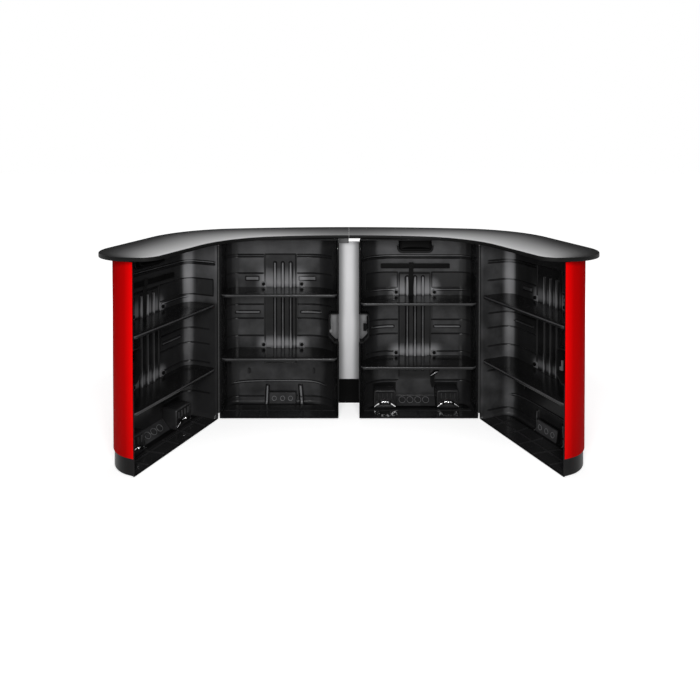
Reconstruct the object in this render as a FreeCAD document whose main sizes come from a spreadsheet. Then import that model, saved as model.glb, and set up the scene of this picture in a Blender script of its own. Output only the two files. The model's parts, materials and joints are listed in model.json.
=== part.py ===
import FreeCAD, Part
import math
import os
import Sketcher

# Driving dimensions, in millimetres and degrees.
# Heights of pieces inside a shell are measured from the underside of the shell.
SIZES = {
    # moulded half-shells of the two transport cases
    "shell_width": 620,
    "shell_depth": 200,
    "shell_height": 935,
    "shell_wall": 4,
    "hinge_corner": 50,
    "free_straight": 35,
    "edge_round": 8,
    "case_gap": 109,
    "wing_angle": 67.2,
    # rubber feet
    "foot_height": 5,
    "foot_radius": 15,
    "foot_front_inset": 45,
    "foot_front_depth": 27,
    "foot_back_spread": 70,
    "foot_back_depth": 138,
    # long hinge of each case
    "hinge_stand": 4.5,
    "rim_gap": 0.5,
    "knuckle_radius": 4,
    "knuckle_gap": 0.5,
    "pin_radius": 2,
    "pin_play": 0.05,
    "pin_overhang": 2,
    "leaf_thick": 1.5,
    "leaf_start": 4,
    "leaf_reach": 36,
    "leaf_margin": 30,
    "web_thick": 1,
    # shelves, with their ledges, tabs and knobs
    "lid_upper_shelf": 646,
    "lid_lower_shelf": 311,
    "wheel_upper_shelf": 601,
    "wheel_lower_shelf": 267,
    "shelf_thick": 6,
    "shelf_fit": 1,
    "shelf_setback": 6,
    "shelf_corner_gap": 1,
    "lip_height": 14,
    "lip_thick": 5,
    "ledge_height": 6,
    "ledge_width": 8,
    "ledge_gap": 4,
    "notch_margin": 22,
    "notch_depth": 14,
    "tab_width": 30,
    "tab_height": 30,
    "tab_thick": 3,
    "tab_spread": 105,
    "knob_radius": 8,
    "knob_length": 9,
    "knob_rise": 17,
    # half-round ribs on the back walls
    "rib_radius": 8,
    "rib_sink": 1,
    "rib_pitch": 43,
    "lid_rib_bottom": 245,
    "wheel_rib_bottom": 190,
    "lid_rib_top": 775,
    "wheel_rib_top": 697,
    # latch recess, half of it in each shell of a case
    "recess_height": 147,
    "recess_depth": 47,
    "recess_reach": 52,
    "recess_middle": 471,
    "recess_cut": 30,
    "recess_top_cut": 8,
    # turn latch and keeper
    "stem_radius": 5,
    "stem_play": 0.05,
    "latch_nut_radius": 9,
    "latch_nut_length": 3,
    "latch_gap": 0.3,
    "tongue_stand": 4,
    "tongue_thick": 4,
    "tongue_width": 16,
    "tongue_length": 56,
    "turn_disc_radius": 18,
    "turn_disc_thick": 4,
    "wing_length": 38,
    "wing_width": 8,
    "wing_height": 14,
    "keeper_depth": 14,
    "keeper_thick": 8,
    "keeper_gap": 2,
    "keeper_bridge": 5,
    "keeper_leg": 15,
    "keeper_reach": 11,
    # wheels, housings and axles
    "wheel_radius": 42,
    "wheel_width": 44,
    "wheel_reach": 12,
    "wheel_lift": 3,
    "wheel_hinge_inset": 140,
    "wheel_past_curve": 25,
    "tread_round": 4,
    "rim_inner_radius": 31,
    "web_width": 14,
    "hub_radius": 13,
    "hub_length": 56,
    "well_clear": 8,
    "well_side_clear": 10,
    "axle_radius": 5,
    "axle_play": 0.05,
    "axle_nut_radius": 8,
    "axle_nut_length": 8,
    # bevel between the wheels, along the bottom of the back
    "bevel": 32,
    "bevel_wall": 8,
    # block at the foot of the lid's back wall
    "block_width": 150,
    "block_height": 70,
    "block_depth": 30,
    "block_slope": 10,
    # hand grip cup
    "grip_width": 172,
    "grip_height": 60,
    "grip_drop": 54,
    "grip_depth": 40,
    "grip_slope": 16,
    "cup_wall": 3,
    "cup_fit": 0.3,
    "cup_flange": 8,
    # strap bar, strap and buckle
    "bar_hinge_inset": 120,
    "bar_past_curve": 45,
    "bar_height": 27,
    "bar_thick": 4,
    "bar_stand": 11,
    "bar_drop": 172,
    "bar_foot_inset": 60,
    "bar_foot_back": 15,
    "bar_foot_width": 20,
    "strap_width": 25,
    "strap_thick": 2,
    "strap_play": 0.3,
    "strap_end": 560,
    "tail_spread": 105,
    "tail_top": 180,
    "tail_bottom": 92,
    "tail_stand": 1,
    "buckle_width": 36,
    "buckle_height": 18,
    "buckle_top": 176,
    "buckle_thick": 5,
    # graphic sheets on moulded rails
    "rail_height": 3,
    "rail_width": 12,
    "rail_bottom": 98,
    "rail_top_gap": 17,
    "rail_hinge_inset": 56,
    "rail_middle_inset": 182,
    "rail_free_inset": 188,
    "rail_rim_inset": 4,
    "sheet_thick": 2,
    "sheet_bottom": 80,
    "sheet_top_gap": 10,
    "sheet_rim_inset": 0.5,
    "sheet_free_inset": 170,
    "seam_gap": 1,
    # sheet and kick strip between the cases
    "centre_width": 490,
    "centre_bottom": 120,
    "centre_top_gap": 40,
    "kick_width": 300,
    "kick_bottom": 2,
    "kick_top": 135,
    "kick_thick": 2,
    # crescent countertop, its edges measured from the plane of the inner rims
    "top_thick": 17,
    "top_gap": 0.4,
    "band_thick": 2,
    "top_front": 369,
    "top_inner": 31,
    "top_near": 632,
    "front_radius": 3450,
    "front_angle": 11,
    "shoulder_radius": 460,
    "outer_angle": 75,
    "tip_radius": 210,
    "inner_radius": 1750,
    "inner_angle": 12.2,
    "hollow_radius": 450,
    "hollow_angle": 70,
    "heel_radius": 80,
    "pad_thick": 1.5,
    "pad_radius": 15,
    "pad_inset": 90,
    "pad_depth": 60,
    "pad_clear": 0.3,
    "peg_radius": 6,
    "peg_play": 0.3,
    "peg_drop": 8,
    "peg_spread": 160,
    "peg_depth": 100,
}
KNUCKLES = 15
CLOCKWISE = -1
COUNTERCLOCKWISE = 1
LID = 1
WHEEL = -1
# A cut runs this far past the face that it opens.
PAST = 1.0
DEGREES_PER_RADIAN = 57.29578
# Growth of a corner cut at 45 degrees, for each unit by which its outline grows.
MITRE = 0.585786

doc = FreeCAD.newDocument("display_counter")
sheet = doc.addObject("Spreadsheet::Sheet", "Dims")
for row, (alias, number) in enumerate(SIZES.items(), start=1):
    sheet.set("A%d" % row, alias)
    sheet.set("B%d" % row, str(number))
    sheet.setAlias("B%d" % row, alias)
doc.recompute()


class Size:
    """A number worked out from the sheet, with the expression that gives it."""

    def __init__(self, value, text):
        self.value = value
        self.text = text

    def join(self, sign, other, value):
        return Size(value, "(%s %s %s)" % (self.text, sign, other.text))

    def __add__(self, other):
        other = as_size(other)
        return self.join("+", other, self.value + other.value)

    def __sub__(self, other):
        other = as_size(other)
        return self.join("-", other, self.value - other.value)

    def __mul__(self, other):
        other = as_size(other)
        return self.join("*", other, self.value * other.value)

    def __truediv__(self, other):
        other = as_size(other)
        return self.join("/", other, self.value / other.value)

    def __radd__(self, other):
        return as_size(other) + self

    def __rsub__(self, other):
        return as_size(other) - self

    def __rmul__(self, other):
        return as_size(other) * self

    def __neg__(self):
        return as_size(0) - self


def as_size(number):
    if isinstance(number, Size):
        return number
    return Size(float(number), "%.6f" % number)


def sine(angle):
    return Size(math.sin(math.radians(angle.value)), "sin(%s * 1deg)" % angle.text)


def cosine(angle):
    return Size(math.cos(math.radians(angle.value)), "cos(%s * 1deg)" % angle.text)


def root(size):
    return Size(math.sqrt(size.value), "sqrt(%s)" % size.text)


class Dimensions:
    """The cells of the sheet as sizes, one attribute for each alias."""

    def __init__(self):
        for alias in SIZES:
            setattr(self, alias, Size(float(sheet.get(alias)), "Dims." + alias))


dim = Dimensions()
free_corner = dim.shell_depth - dim.free_straight
middle = dim.shell_width / 2
curve_start = dim.shell_width - free_corner
inner_back = dim.shell_depth - dim.shell_wall
rim_plane = (dim.top_near - dim.top_front) / 2
hinge_side = dim.case_gap / 2 + dim.shell_width
half_wedge = dim.wing_angle / 2


class Seat:
    """Where a shell stands: its hinge-side rim corner on the plan, its turn, and which way it runs."""

    def __init__(self, side, x, y, spin):
        self.side = side
        self.x = x
        self.y = y
        self.spin = spin

    def plan(self, inset, depth):
        """Plan position of a point of the shell, from its hinge side and its rim."""
        across = self.side * inset
        if self.spin == 0:
            return self.x + across, self.y + depth
        cos_turn = cosine(dim.wing_angle)
        sin_turn = self.spin * sine(dim.wing_angle)
        return self.x + across * cos_turn - depth * sin_turn, self.y + across * sin_turn + depth * cos_turn


def end_seat(side):
    """The seat of a wing's shell, which shares the hinge axis of its neighbour."""
    spin = -side
    axis_x = spin * -1 * (hinge_side + dim.hinge_stand)
    axis_y = rim_plane - dim.rim_gap
    cos_turn = cosine(dim.wing_angle)
    sin_turn = sine(dim.wing_angle)
    x = axis_x + side * (dim.hinge_stand * cos_turn + dim.rim_gap * sin_turn)
    y = axis_y - (dim.hinge_stand * sin_turn - dim.rim_gap * cos_turn)
    return Seat(side, x, y, spin)


SEATS = {
    "left_inner": Seat(LID, -hinge_side, rim_plane, 0),
    "right_inner": Seat(WHEEL, hinge_side, rim_plane, 0),
    "left_end": end_seat(WHEEL),
    "right_end": end_seat(LID),
}


def place(thing, x, y, z, spin=0):
    """Stand a piece at a point of the plan, turned by the wing angle about the vertical if it spins."""
    x, y, z = as_size(x), as_size(y), as_size(z)
    angle = dim.wing_angle.value if spin else 0.0
    turn = FreeCAD.Rotation(FreeCAD.Vector(0, 0, spin or 1), angle)
    thing.Placement = FreeCAD.Placement(FreeCAD.Vector(x.value, y.value, z.value), turn)
    thing.setExpression("Placement.Base.x", x.text)
    thing.setExpression("Placement.Base.y", y.text)
    thing.setExpression("Placement.Base.z", z.text)
    if spin:
        thing.setExpression("Placement.Rotation.Angle", dim.wing_angle.text)


pieces = []


def seated(thing, label, seat, inset=0, depth=0, height=0):
    """Name a finished piece, and stand it in a shell's seat."""
    x, y = seat.plan(as_size(inset), as_size(depth))
    place(thing, x, y, dim.foot_height + height, seat.spin)
    thing.Label = label
    pieces.append(thing)
    return thing


def new_body(label):
    return doc.addObject("PartDesign::Body", label)


def new_sketch(body, name, lift=0, plane="XY_Plane"):
    """A sketch on one of the body's own origin planes, lifted along the plane's normal."""
    lift = as_size(lift)
    sketch = body.newObject("Sketcher::SketchObject", name)
    support = [item for item in body.Origin.OriginFeatures if item.Role == plane][0]
    sketch.AttachmentSupport = [(support, "")]
    sketch.MapMode = "FlatFace"
    sketch.AttachmentOffset = FreeCAD.Placement(FreeCAD.Vector(0, 0, lift.value), FreeCAD.Rotation())
    sketch.setExpression("AttachmentOffset.Base.z", lift.text)
    return sketch


def hold(sketch, kind, size, *where):
    """Add a driving constraint and bind it to its size."""
    index = sketch.addConstraint(Sketcher.Constraint(kind, *where, size.value))
    sketch.setExpression("Constraints[%d]" % index, size.text)


def hold_point(sketch, geometry, point, x, y):
    for kind, size, axis in (("DistanceX", x, -2), ("DistanceY", y, -1)):
        if abs(size.value) < 1e-9:
            sketch.addConstraint(Sketcher.Constraint("PointOnObject", geometry, point, axis))
        else:
            hold(sketch, kind, size, -1, 1, geometry, point)


def arc_between(start, end, radius, turn):
    """The circular arc of less than half a turn from one point to another."""
    chord = end - start
    rise = math.sqrt(max(radius * radius - chord.Length ** 2 / 4, 0))
    left = FreeCAD.Vector(-chord.y, chord.x, 0).normalize()
    centre = (start + end) * 0.5 + left * (rise * turn)
    first, last = (start, end) if turn == COUNTERCLOCKWISE else (end, start)
    angles = [math.atan2(point.y - centre.y, point.x - centre.x) for point in (first, last)]
    return Part.ArcOfCircle(Part.Circle(centre, FreeCAD.Vector(0, 0, 1), radius), *angles)


def draw(sketch, corners, side=1):
    """Draw a closed outline. A corner is (x, y) or, before an arc, (x, y, radius, turn)."""
    corners = [tuple(as_size(number) for number in corner[:3]) + tuple(corner[3:]) for corner in corners]
    points = [FreeCAD.Vector(side * corner[0].value, corner[1].value, 0) for corner in corners]
    ends = []
    for number, corner in enumerate(corners):
        start = points[number]
        end = points[(number + 1) % len(points)]
        if len(corner) == 2:
            ends.append((sketch.addGeometry(Part.LineSegment(start, end)), 1, 2))
            continue
        turn = side * corner[3]
        arc = sketch.addGeometry(arc_between(start, end, corner[2].value, turn))
        ends.append((arc, 1, 2) if turn == COUNTERCLOCKWISE else (arc, 2, 1))
    for number, corner in enumerate(corners):
        geometry, first, last = ends[number]
        following = ends[(number + 1) % len(ends)]
        sketch.addConstraint(Sketcher.Constraint("Coincident", geometry, last, following[0], following[1]))
        hold_point(sketch, geometry, first, side * corner[0], corner[1])
        if len(corner) > 2:
            hold(sketch, "Radius", corner[2], geometry)


def draw_box(sketch, x_low, x_high, y_low, y_high, side=1):
    draw(sketch, [(x_low, y_low), (x_low, y_high), (x_high, y_high), (x_high, y_low)], side)


def draw_circle(sketch, x, y, radius):
    circle = Part.Circle(FreeCAD.Vector(x.value, y.value, 0), FreeCAD.Vector(0, 0, 1), radius.value)
    index = sketch.addGeometry(circle)
    hold_point(sketch, index, 3, x, y)
    hold(sketch, "Radius", radius, index)


def extrude(body, kind, name, sketch, length, backwards=False, both_ways=False):
    feature = body.newObject("PartDesign::" + kind, name)
    feature.Profile = sketch
    feature.setExpression("Length", as_size(length).text)
    feature.Reversed = backwards
    feature.Midplane = both_ways
    return feature


def add(body, name, sketch, length, backwards=False, both_ways=False):
    return extrude(body, "Pad", name, sketch, length, backwards, both_ways)


def cut(body, name, sketch, length, backwards=True, both_ways=False):
    """Cut along the sketch's normal, or against it, and make sure that the cut takes something away."""
    doc.recompute()
    volume = body.Shape.Volume
    feature = extrude(body, "Pocket", name, sketch, length, backwards, both_ways)
    doc.recompute()
    if not body.Shape.Volume < volume:
        raise RuntimeError("nothing cut by " + feature.Name)
    return feature


def block(name, x_low, x_high, y_low, y_high, z_low, z_high, side=1):
    """A box between two corners; on a shell that runs the other way its x is mirrored."""
    low, high = as_size(x_low), as_size(x_high)
    if side < 0:
        low, high = -high, -low
    box = doc.addObject("Part::Box", name)
    box.setExpression("Length", (high - low).text)
    box.setExpression("Width", (as_size(y_high) - y_low).text)
    box.setExpression("Height", (as_size(z_high) - z_low).text)
    place(box, low, y_low, z_low)
    return box


def upright(name, x, y, z_low, z_high, radius):
    rod = doc.addObject("Part::Cylinder", name)
    rod.setExpression("Radius", as_size(radius).text)
    rod.setExpression("Height", (as_size(z_high) - z_low).text)
    place(rod, x, y, z_low)
    return rod


def lying(name, axis, x, y, z, length, radius):
    """A round bar that lies along +x or +y from a point."""
    rod = doc.addObject("Part::Cylinder", name)
    rod.setExpression("Radius", as_size(radius).text)
    rod.setExpression("Height", as_size(length).text)
    place(rod, x, y, z)
    quarter = {"x": (FreeCAD.Vector(0, 1, 0), 90), "y": (FreeCAD.Vector(1, 0, 0), -90)}[axis]
    rod.Placement = FreeCAD.Placement(rod.Placement.Base, FreeCAD.Rotation(*quarter))
    return rod


def lying_across(name, side, inset_low, inset_high, depth, height, radius):
    """A round bar along the width of a shell, between two distances from its hinge side."""
    low = inset_low if side > 0 else -as_size(inset_high)
    return lying(name, "x", low, depth, height, as_size(inset_high) - inset_low, radius)


def joined(name, solids):
    group = doc.addObject("Part::MultiFuse", name)
    group.Shapes = solids
    return group


def shell_outline(inset, front):
    """Plan of a shell, moved in from its outer faces: tight corner at the hinge, wide one at the free side."""
    back = dim.shell_depth - inset
    return [
        (inset, front),
        (inset, dim.shell_depth - dim.hinge_corner, dim.hinge_corner - inset, CLOCKWISE),
        (dim.hinge_corner, back),
        (curve_start, back, free_corner - inset, CLOCKWISE),
        (dim.shell_width - inset, dim.free_straight),
        (dim.shell_width - inset, front),
    ]


def inner_depth(inset):
    """Depth of the back wall's inner face at a distance from the hinge side."""
    if inset.value <= curve_start.value:
        return inner_back
    reach = free_corner - dim.shell_wall
    past = inset - curve_start
    return dim.free_straight + root(reach * reach - past * past)


wheel_depth = dim.shell_depth + dim.wheel_reach - dim.wheel_radius
wheel_height = dim.wheel_lift + dim.wheel_radius - dim.foot_height
well_radius = dim.wheel_radius + dim.well_clear
well_half = dim.wheel_width / 2 + dim.well_side_clear
housing_half = well_half + dim.shell_wall
housing_front = wheel_depth - well_radius - dim.shell_wall
housing_top = wheel_height + well_radius + dim.shell_wall
WHEEL_INSETS = (dim.wheel_hinge_inset, curve_start + dim.wheel_past_curve)


def outline_round_housings(front):
    """The inner plan of a wheel shell's lowest part, which leaves the two wheel housings standing."""
    corners = shell_outline(dim.shell_wall, front)
    start, end = corners[:3], corners[4:]
    bend = free_corner - dim.shell_wall
    run = []
    bent = False
    for inset in WHEEL_INSETS:
        low, high = inset - housing_half, inset + housing_half
        if not bent and curve_start.value < low.value:
            run.append((curve_start, inner_back, bend, CLOCKWISE))
            bent = True
        run += [(low, inner_depth(low)), (low, housing_front), (high, housing_front)]
        after = (high, inner_depth(high))
        if high.value > curve_start.value:
            bent = True
            after = after + (bend, CLOCKWISE)
        run.append(after)
    if not bent:
        run.append((curve_start, inner_back, bend, CLOCKWISE))
    return start + run + end


recess_low = dim.recess_middle - dim.recess_height / 2
recess_high = dim.recess_middle + dim.recess_height / 2
recess_floor = dim.shell_width - dim.recess_depth
latch_depth = dim.recess_reach / 2
grip_middle = dim.shell_height - dim.grip_drop


def round_edges(body, base):
    """Round the outer edges of the top and the bottom, but not the rim."""
    names = []
    for number, edge in enumerate(base.Shape.Edges, start=1):
        box = edge.BoundBox
        if box.ZLength < 1e-6 and box.YMax > 1e-6:
            names.append("Edge%d" % number)
    fillet = body.newObject("PartDesign::Fillet", "EdgeRound")
    fillet.Base = (base, names)
    fillet.setExpression("Radius", dim.edge_round.text)


# The round front corners of a shelf end just before the wide corner of the shell begins.
shelf_bend = dim.free_straight - dim.shelf_setback - dim.shelf_corner_gap


def add_ledges(body, side, shelf_tops):
    start = dim.shelf_setback + shelf_bend + dim.ledge_gap
    outer = shell_outline(dim.shell_wall / 2, start)
    inner = shell_outline(dim.shell_wall + dim.ledge_width, start)
    ring = outer + reverse_path(inner)
    for number, top in enumerate(shelf_tops, start=1):
        ledge = new_sketch(body, "Ledge%d" % number, top - dim.shelf_thick - dim.ledge_height)
        draw(ledge, ring, side)
        add(body, "LedgePad%d" % number, ledge, dim.ledge_height)


def reverse_path(corners):
    """The same path run backwards: each arc moves to its other end and turns the other way."""
    path = []
    for number in range(len(corners) - 1, -1, -1):
        arc = corners[number - 1][2:] if number else ()
        path.append(corners[number][:2] + (arc[0], -arc[1]) if arc else corners[number][:2])
    return path


def add_ribs(body, side, bottom, top):
    sketch = new_sketch(body, "Ribs", bottom)
    back = inner_back + dim.rib_sink
    for step in (-1, 0, 1):
        low = middle + step * dim.rib_pitch - dim.rib_radius
        apex = middle + step * dim.rib_pitch
        draw(sketch, [
            (low, back, dim.rib_radius, COUNTERCLOCKWISE),
            (apex, back - dim.rib_radius, dim.rib_radius, COUNTERCLOCKWISE),
            (low + 2 * dim.rib_radius, back),
        ], side)
    add(body, "RibPad", sketch, top - bottom)


def add_rails(body, side):
    """Upright rails that carry the graphic sheet off the back and off the free side."""
    sketch = new_sketch(body, "Rails", dim.rail_bottom)
    back = dim.shell_depth
    starts = (
        dim.rail_hinge_inset,
        dim.rail_middle_inset,
        dim.shell_width - dim.rail_free_inset,
    )
    for low in starts:
        draw_box(sketch, low, low + dim.rail_width, back - dim.shell_wall / 2, back + dim.rail_height, side)
    outside = dim.shell_width + dim.rail_height
    rim = dim.rail_rim_inset
    draw_box(sketch, dim.shell_width - dim.shell_wall / 2, outside, rim, rim + dim.rail_width, side)
    add(body, "RailPad", sketch, dim.shell_height - dim.rail_top_gap - dim.rail_bottom)


def recess_outline(floor, outside, low, high, low_cut, high_cut):
    """Front view of the latch recess: both corners at its floor are cut off, the lower one more."""
    return [
        (outside, low),
        (floor + low_cut, low),
        (floor, low + low_cut),
        (floor, high - high_cut),
        (floor + high_cut, high),
        (outside, high),
    ]


def add_recess(body, side):
    """The bulge of the latch recess inside the free side, then the recess itself."""
    wall = dim.shell_wall
    grown = MITRE * wall
    bulge = new_sketch(body, "Bulge", 0, "XZ_Plane")
    draw(bulge, recess_outline(recess_floor - wall, dim.shell_width - 0.75 * wall, recess_low - wall,
                               recess_high + wall, dim.recess_cut + grown, dim.recess_top_cut + grown), side)
    add(body, "BulgePad", bulge, dim.recess_reach + wall, backwards=True)
    recess = new_sketch(body, "Recess", PAST, "XZ_Plane")
    draw(recess, recess_outline(recess_floor, dim.shell_width + dim.rail_height + PAST, recess_low, recess_high,
                                dim.recess_cut, dim.recess_top_cut), side)
    cut(body, "RecessCut", recess, dim.recess_reach + PAST, backwards=False)


def add_block(body, side):
    """A moulded block with a sloping front, low on the back wall of a lid."""
    sketch = new_sketch(body, "Block", side * middle, "YZ_Plane")
    floor = dim.shell_wall / 2
    back = inner_back + dim.shell_wall / 2
    front = inner_back - dim.block_depth
    top = dim.block_height
    draw(sketch, [(back, floor), (front, floor), (front + dim.block_slope, top), (back, top)])
    add(body, "BlockPad", sketch, dim.block_width, both_ways=True)


def cut_stem_hole(body, side):
    start = recess_floor - dim.shell_wall - PAST
    hole = new_sketch(body, "StemHole", side * (start + dim.shell_wall / 2 + PAST), "YZ_Plane")
    draw_circle(hole, latch_depth, dim.recess_middle, dim.stem_radius + dim.stem_play)
    cut(body, "StemHoleCut", hole, dim.shell_wall + 2 * PAST, both_ways=True)


def cut_peg_holes(body, side):
    holes = new_sketch(body, "PegHoles", dim.shell_height - dim.shell_wall - PAST)
    for spread in (-dim.peg_spread, dim.peg_spread):
        draw_circle(holes, side * (middle + spread), dim.peg_depth, dim.peg_radius + dim.peg_play)
    cut(body, "PegHoleCut", holes, dim.shell_wall + 2 * PAST)


def add_bevel(body, side):
    """A sloping wall between the wheels, where the case tips over its bottom edge."""
    low = WHEEL_INSETS[0] + housing_half
    high = WHEEL_INSETS[1] - housing_half
    across = side * (low + high) / 2
    back = dim.shell_depth - dim.shell_wall / 2
    floor = dim.shell_wall / 2
    slope = dim.bevel + dim.bevel_wall
    inside = new_sketch(body, "Slope", across, "YZ_Plane")
    draw(inside, [(back - slope, floor), (back, floor + slope), (back, floor)])
    add(body, "SlopePad", inside, high - low, both_ways=True)
    outside = new_sketch(body, "Bevel", across, "YZ_Plane")
    reach = dim.bevel + PAST
    edge = dim.shell_depth
    draw(outside, [(edge - dim.bevel - PAST, -PAST), (edge + PAST, reach), (edge + PAST, -PAST)])
    cut(body, "BevelCut", outside, high - low, both_ways=True)


def cut_wells(body, side):
    """Room for the wheels, open at the back and at the bottom, with holes for the axles."""
    outside = dim.shell_depth + PAST
    for number, inset in enumerate(WHEEL_INSETS, start=1):
        well = new_sketch(body, "Well%d" % number, side * inset, "YZ_Plane")
        draw(well, [
            (outside, wheel_height + well_radius),
            (wheel_depth, wheel_height + well_radius, well_radius, COUNTERCLOCKWISE),
            (wheel_depth - well_radius, wheel_height),
            (wheel_depth - well_radius, -PAST),
            (outside, -PAST),
        ])
        cut(body, "WellCut%d" % number, well, 2 * well_half, both_ways=True)
        axle = new_sketch(body, "AxleHole%d" % number, side * inset, "YZ_Plane")
        draw_circle(axle, wheel_depth, wheel_height, dim.axle_radius + dim.axle_play)
        cut(body, "AxleHoleCut%d" % number, axle, 2 * housing_half + 2 * PAST, both_ways=True)


def cut_grip_opening(body, side):
    opening = new_sketch(body, "GripOpening", grip_middle - dim.grip_height / 2)
    half = dim.grip_width / 2
    draw_box(opening, middle - half, middle + half, inner_back - PAST, dim.shell_depth + PAST, side)
    cut(body, "GripOpeningCut", opening, dim.grip_height)


def make_shell(name, seat):
    """One moulded half-shell: outer form, hollow, ledges, ribs, rails and latch recess."""
    side = seat.side
    body = new_body(name + "_shell")
    outer = new_sketch(body, "Outer")
    draw(outer, shell_outline(as_size(0), 0), side)
    base = add(body, "OuterPad", outer, dim.shell_height)
    doc.recompute()
    round_edges(body, base)
    floor = dim.shell_wall
    if side == WHEEL:
        low = new_sketch(body, "LowHollow", floor)
        draw(low, outline_round_housings(-PAST), side)
        cut(body, "LowHollowCut", low, housing_top - floor)
        floor = housing_top
    hollow = new_sketch(body, "Hollow", floor)
    draw(hollow, shell_outline(dim.shell_wall, -PAST), side)
    cut(body, "HollowCut", hollow, dim.shell_height - dim.shell_wall - floor)
    if side == WHEEL:
        shelf_tops = (dim.wheel_upper_shelf, dim.wheel_lower_shelf)
        rib_ends = (dim.wheel_rib_bottom, dim.wheel_rib_top)
    else:
        shelf_tops = (dim.lid_upper_shelf, dim.lid_lower_shelf)
        rib_ends = (dim.lid_rib_bottom, dim.lid_rib_top)
    add_ledges(body, side, shelf_tops)
    add_ribs(body, side, *rib_ends)
    add_rails(body, side)
    add_recess(body, side)
    cut_peg_holes(body, side)
    if side == LID:
        add_block(body, side)
    else:
        cut_stem_hole(body, side)
        add_bevel(body, side)
        cut_wells(body, side)
        cut_grip_opening(body, side)
    seated(body, name + "_shell", seat)


def lip_outline(inset, front, bend):
    """Plan of the turned-down lip: along the front of a shelf and round both of its front corners."""
    far = dim.shell_width - inset
    thick = dim.lip_thick
    return [
        (far, front + bend, bend, CLOCKWISE),
        (far - bend, front),
        (inset + bend, front, bend, CLOCKWISE),
        (inset, front + bend),
        (inset + thick, front + bend, bend - thick, COUNTERCLOCKWISE),
        (inset + bend, front + thick),
        (far - bend, front + thick, bend - thick, COUNTERCLOCKWISE),
        (far - thick, front + bend),
    ]


def make_shelf(name, seat, top):
    """A shelf with a turned-down lip, a notch round the ribs and two tabs on the back wall."""
    side = seat.side
    inset = dim.shell_wall + dim.shelf_fit
    back = dim.shell_depth - inset
    front = dim.shelf_setback
    bend = shelf_bend
    notch = dim.rib_pitch + dim.notch_margin
    left, right = middle - notch, middle + notch
    body = new_body(name)
    plate = new_sketch(body, "Plate", -dim.shelf_thick)
    plan = shell_outline(inset, front + bend)
    plan[3:3] = [
        (left, back),
        (left, back - dim.notch_depth),
        (right, back - dim.notch_depth),
        (right, back),
    ]
    plan[-1] = plan[-1] + (bend, CLOCKWISE)
    plan += [(dim.shell_width - inset - bend, front), (inset + bend, front, bend, CLOCKWISE)]
    draw(plate, plan, side)
    add(body, "PlatePad", plate, dim.shelf_thick)
    lip = new_sketch(body, "Lip", -dim.lip_height)
    draw(lip, lip_outline(inset, front, bend), side)
    add(body, "LipPad", lip, dim.lip_height - dim.shelf_thick)
    tabs = new_sketch(body, "Tabs")
    for spread in (-dim.tab_spread, dim.tab_spread):
        low = middle + spread - dim.tab_width / 2
        draw_box(tabs, low, low + dim.tab_width, back - dim.tab_thick, back, side)
    add(body, "TabPad", tabs, dim.tab_height)
    seated(body, name, seat, height=top)


def make_knobs(name, seat, shelf_tops):
    """The round knobs that clamp the shelf tabs, two for each shelf."""
    tab_front = inner_back - dim.shelf_fit - dim.tab_thick
    knobs = []
    for level, top in zip(("Upper", "Lower"), shelf_tops):
        for end, spread in (("A", -dim.tab_spread), ("B", dim.tab_spread)):
            across = seat.side * (middle + spread)
            height = top + dim.knob_rise
            label = "%s_knob_%s%s" % (name, level, end)
            start = tab_front - dim.knob_length
            knobs.append(lying(label, "y", across, start, height, dim.knob_length, dim.knob_radius))
    seated(joined(name + "_shelf_knobs", knobs), name + "_shelf_knobs", seat)


def make_feet(name, seat):
    spots = (
        (dim.foot_front_inset, dim.foot_front_depth),
        (dim.shell_width - dim.foot_front_inset, dim.foot_front_depth),
        (middle - dim.foot_back_spread, dim.foot_back_depth),
        (middle + dim.foot_back_spread, dim.foot_back_depth),
    )
    feet = []
    for number, (inset, depth) in enumerate(spots, start=1):
        across = seat.side * inset
        feet.append(upright("%s_foot_%d" % (name, number), across, depth, -dim.foot_height, 0, dim.foot_radius))
    seated(joined(name + "_feet", feet), name + "_feet", seat)


def make_leaf(name, seat, first):
    """One leaf of a long hinge: a plate on the outside of the hinge wall, and every second knuckle."""
    side = seat.side
    low, high = dim.leaf_margin, dim.shell_height - dim.leaf_margin
    pitch = (high - low) / KNUCKLES
    axis = -dim.hinge_stand
    plate = block(name + "_plate", -dim.leaf_thick, 0, dim.leaf_start, dim.leaf_reach, low, high, side)
    solids = [plate]
    web_low = -dim.leaf_thick
    for number in range(first, KNUCKLES, 2):
        bottom = low + number * pitch + dim.knuckle_gap / 2
        top = low + (number + 1) * pitch - dim.knuckle_gap / 2
        label = "%s_knuckle_%d" % (name, number)
        solids.append(upright(label, side * axis, -dim.rim_gap, bottom, top, dim.knuckle_radius))
        web = block(label + "_web", web_low, web_low + dim.web_thick, -dim.rim_gap, dim.leaf_start, bottom, top,
                    side)
        solids.append(web)
    bore_radius = dim.pin_radius + dim.pin_play
    bore = upright(name + "_bore", side * axis, -dim.rim_gap, low - PAST, high + PAST, bore_radius)
    leaf = doc.addObject("Part::Cut", name)
    leaf.Base = joined(name + "_solid", solids)
    leaf.Tool = bore
    seated(leaf, name, seat)


def make_pin(name, seat):
    low = dim.leaf_margin - dim.pin_overhang
    high = dim.shell_height - dim.leaf_margin + dim.pin_overhang
    pin = upright(name, seat.side * -dim.hinge_stand, -dim.rim_gap, low, high, dim.pin_radius)
    x, y = seat.plan(-dim.hinge_stand, -dim.rim_gap)
    place(pin, x, y, low + dim.foot_height)
    pin.Label = name
    pieces.append(pin)


tongue_low = recess_floor + dim.tongue_stand
tongue_high = tongue_low + dim.tongue_thick


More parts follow.
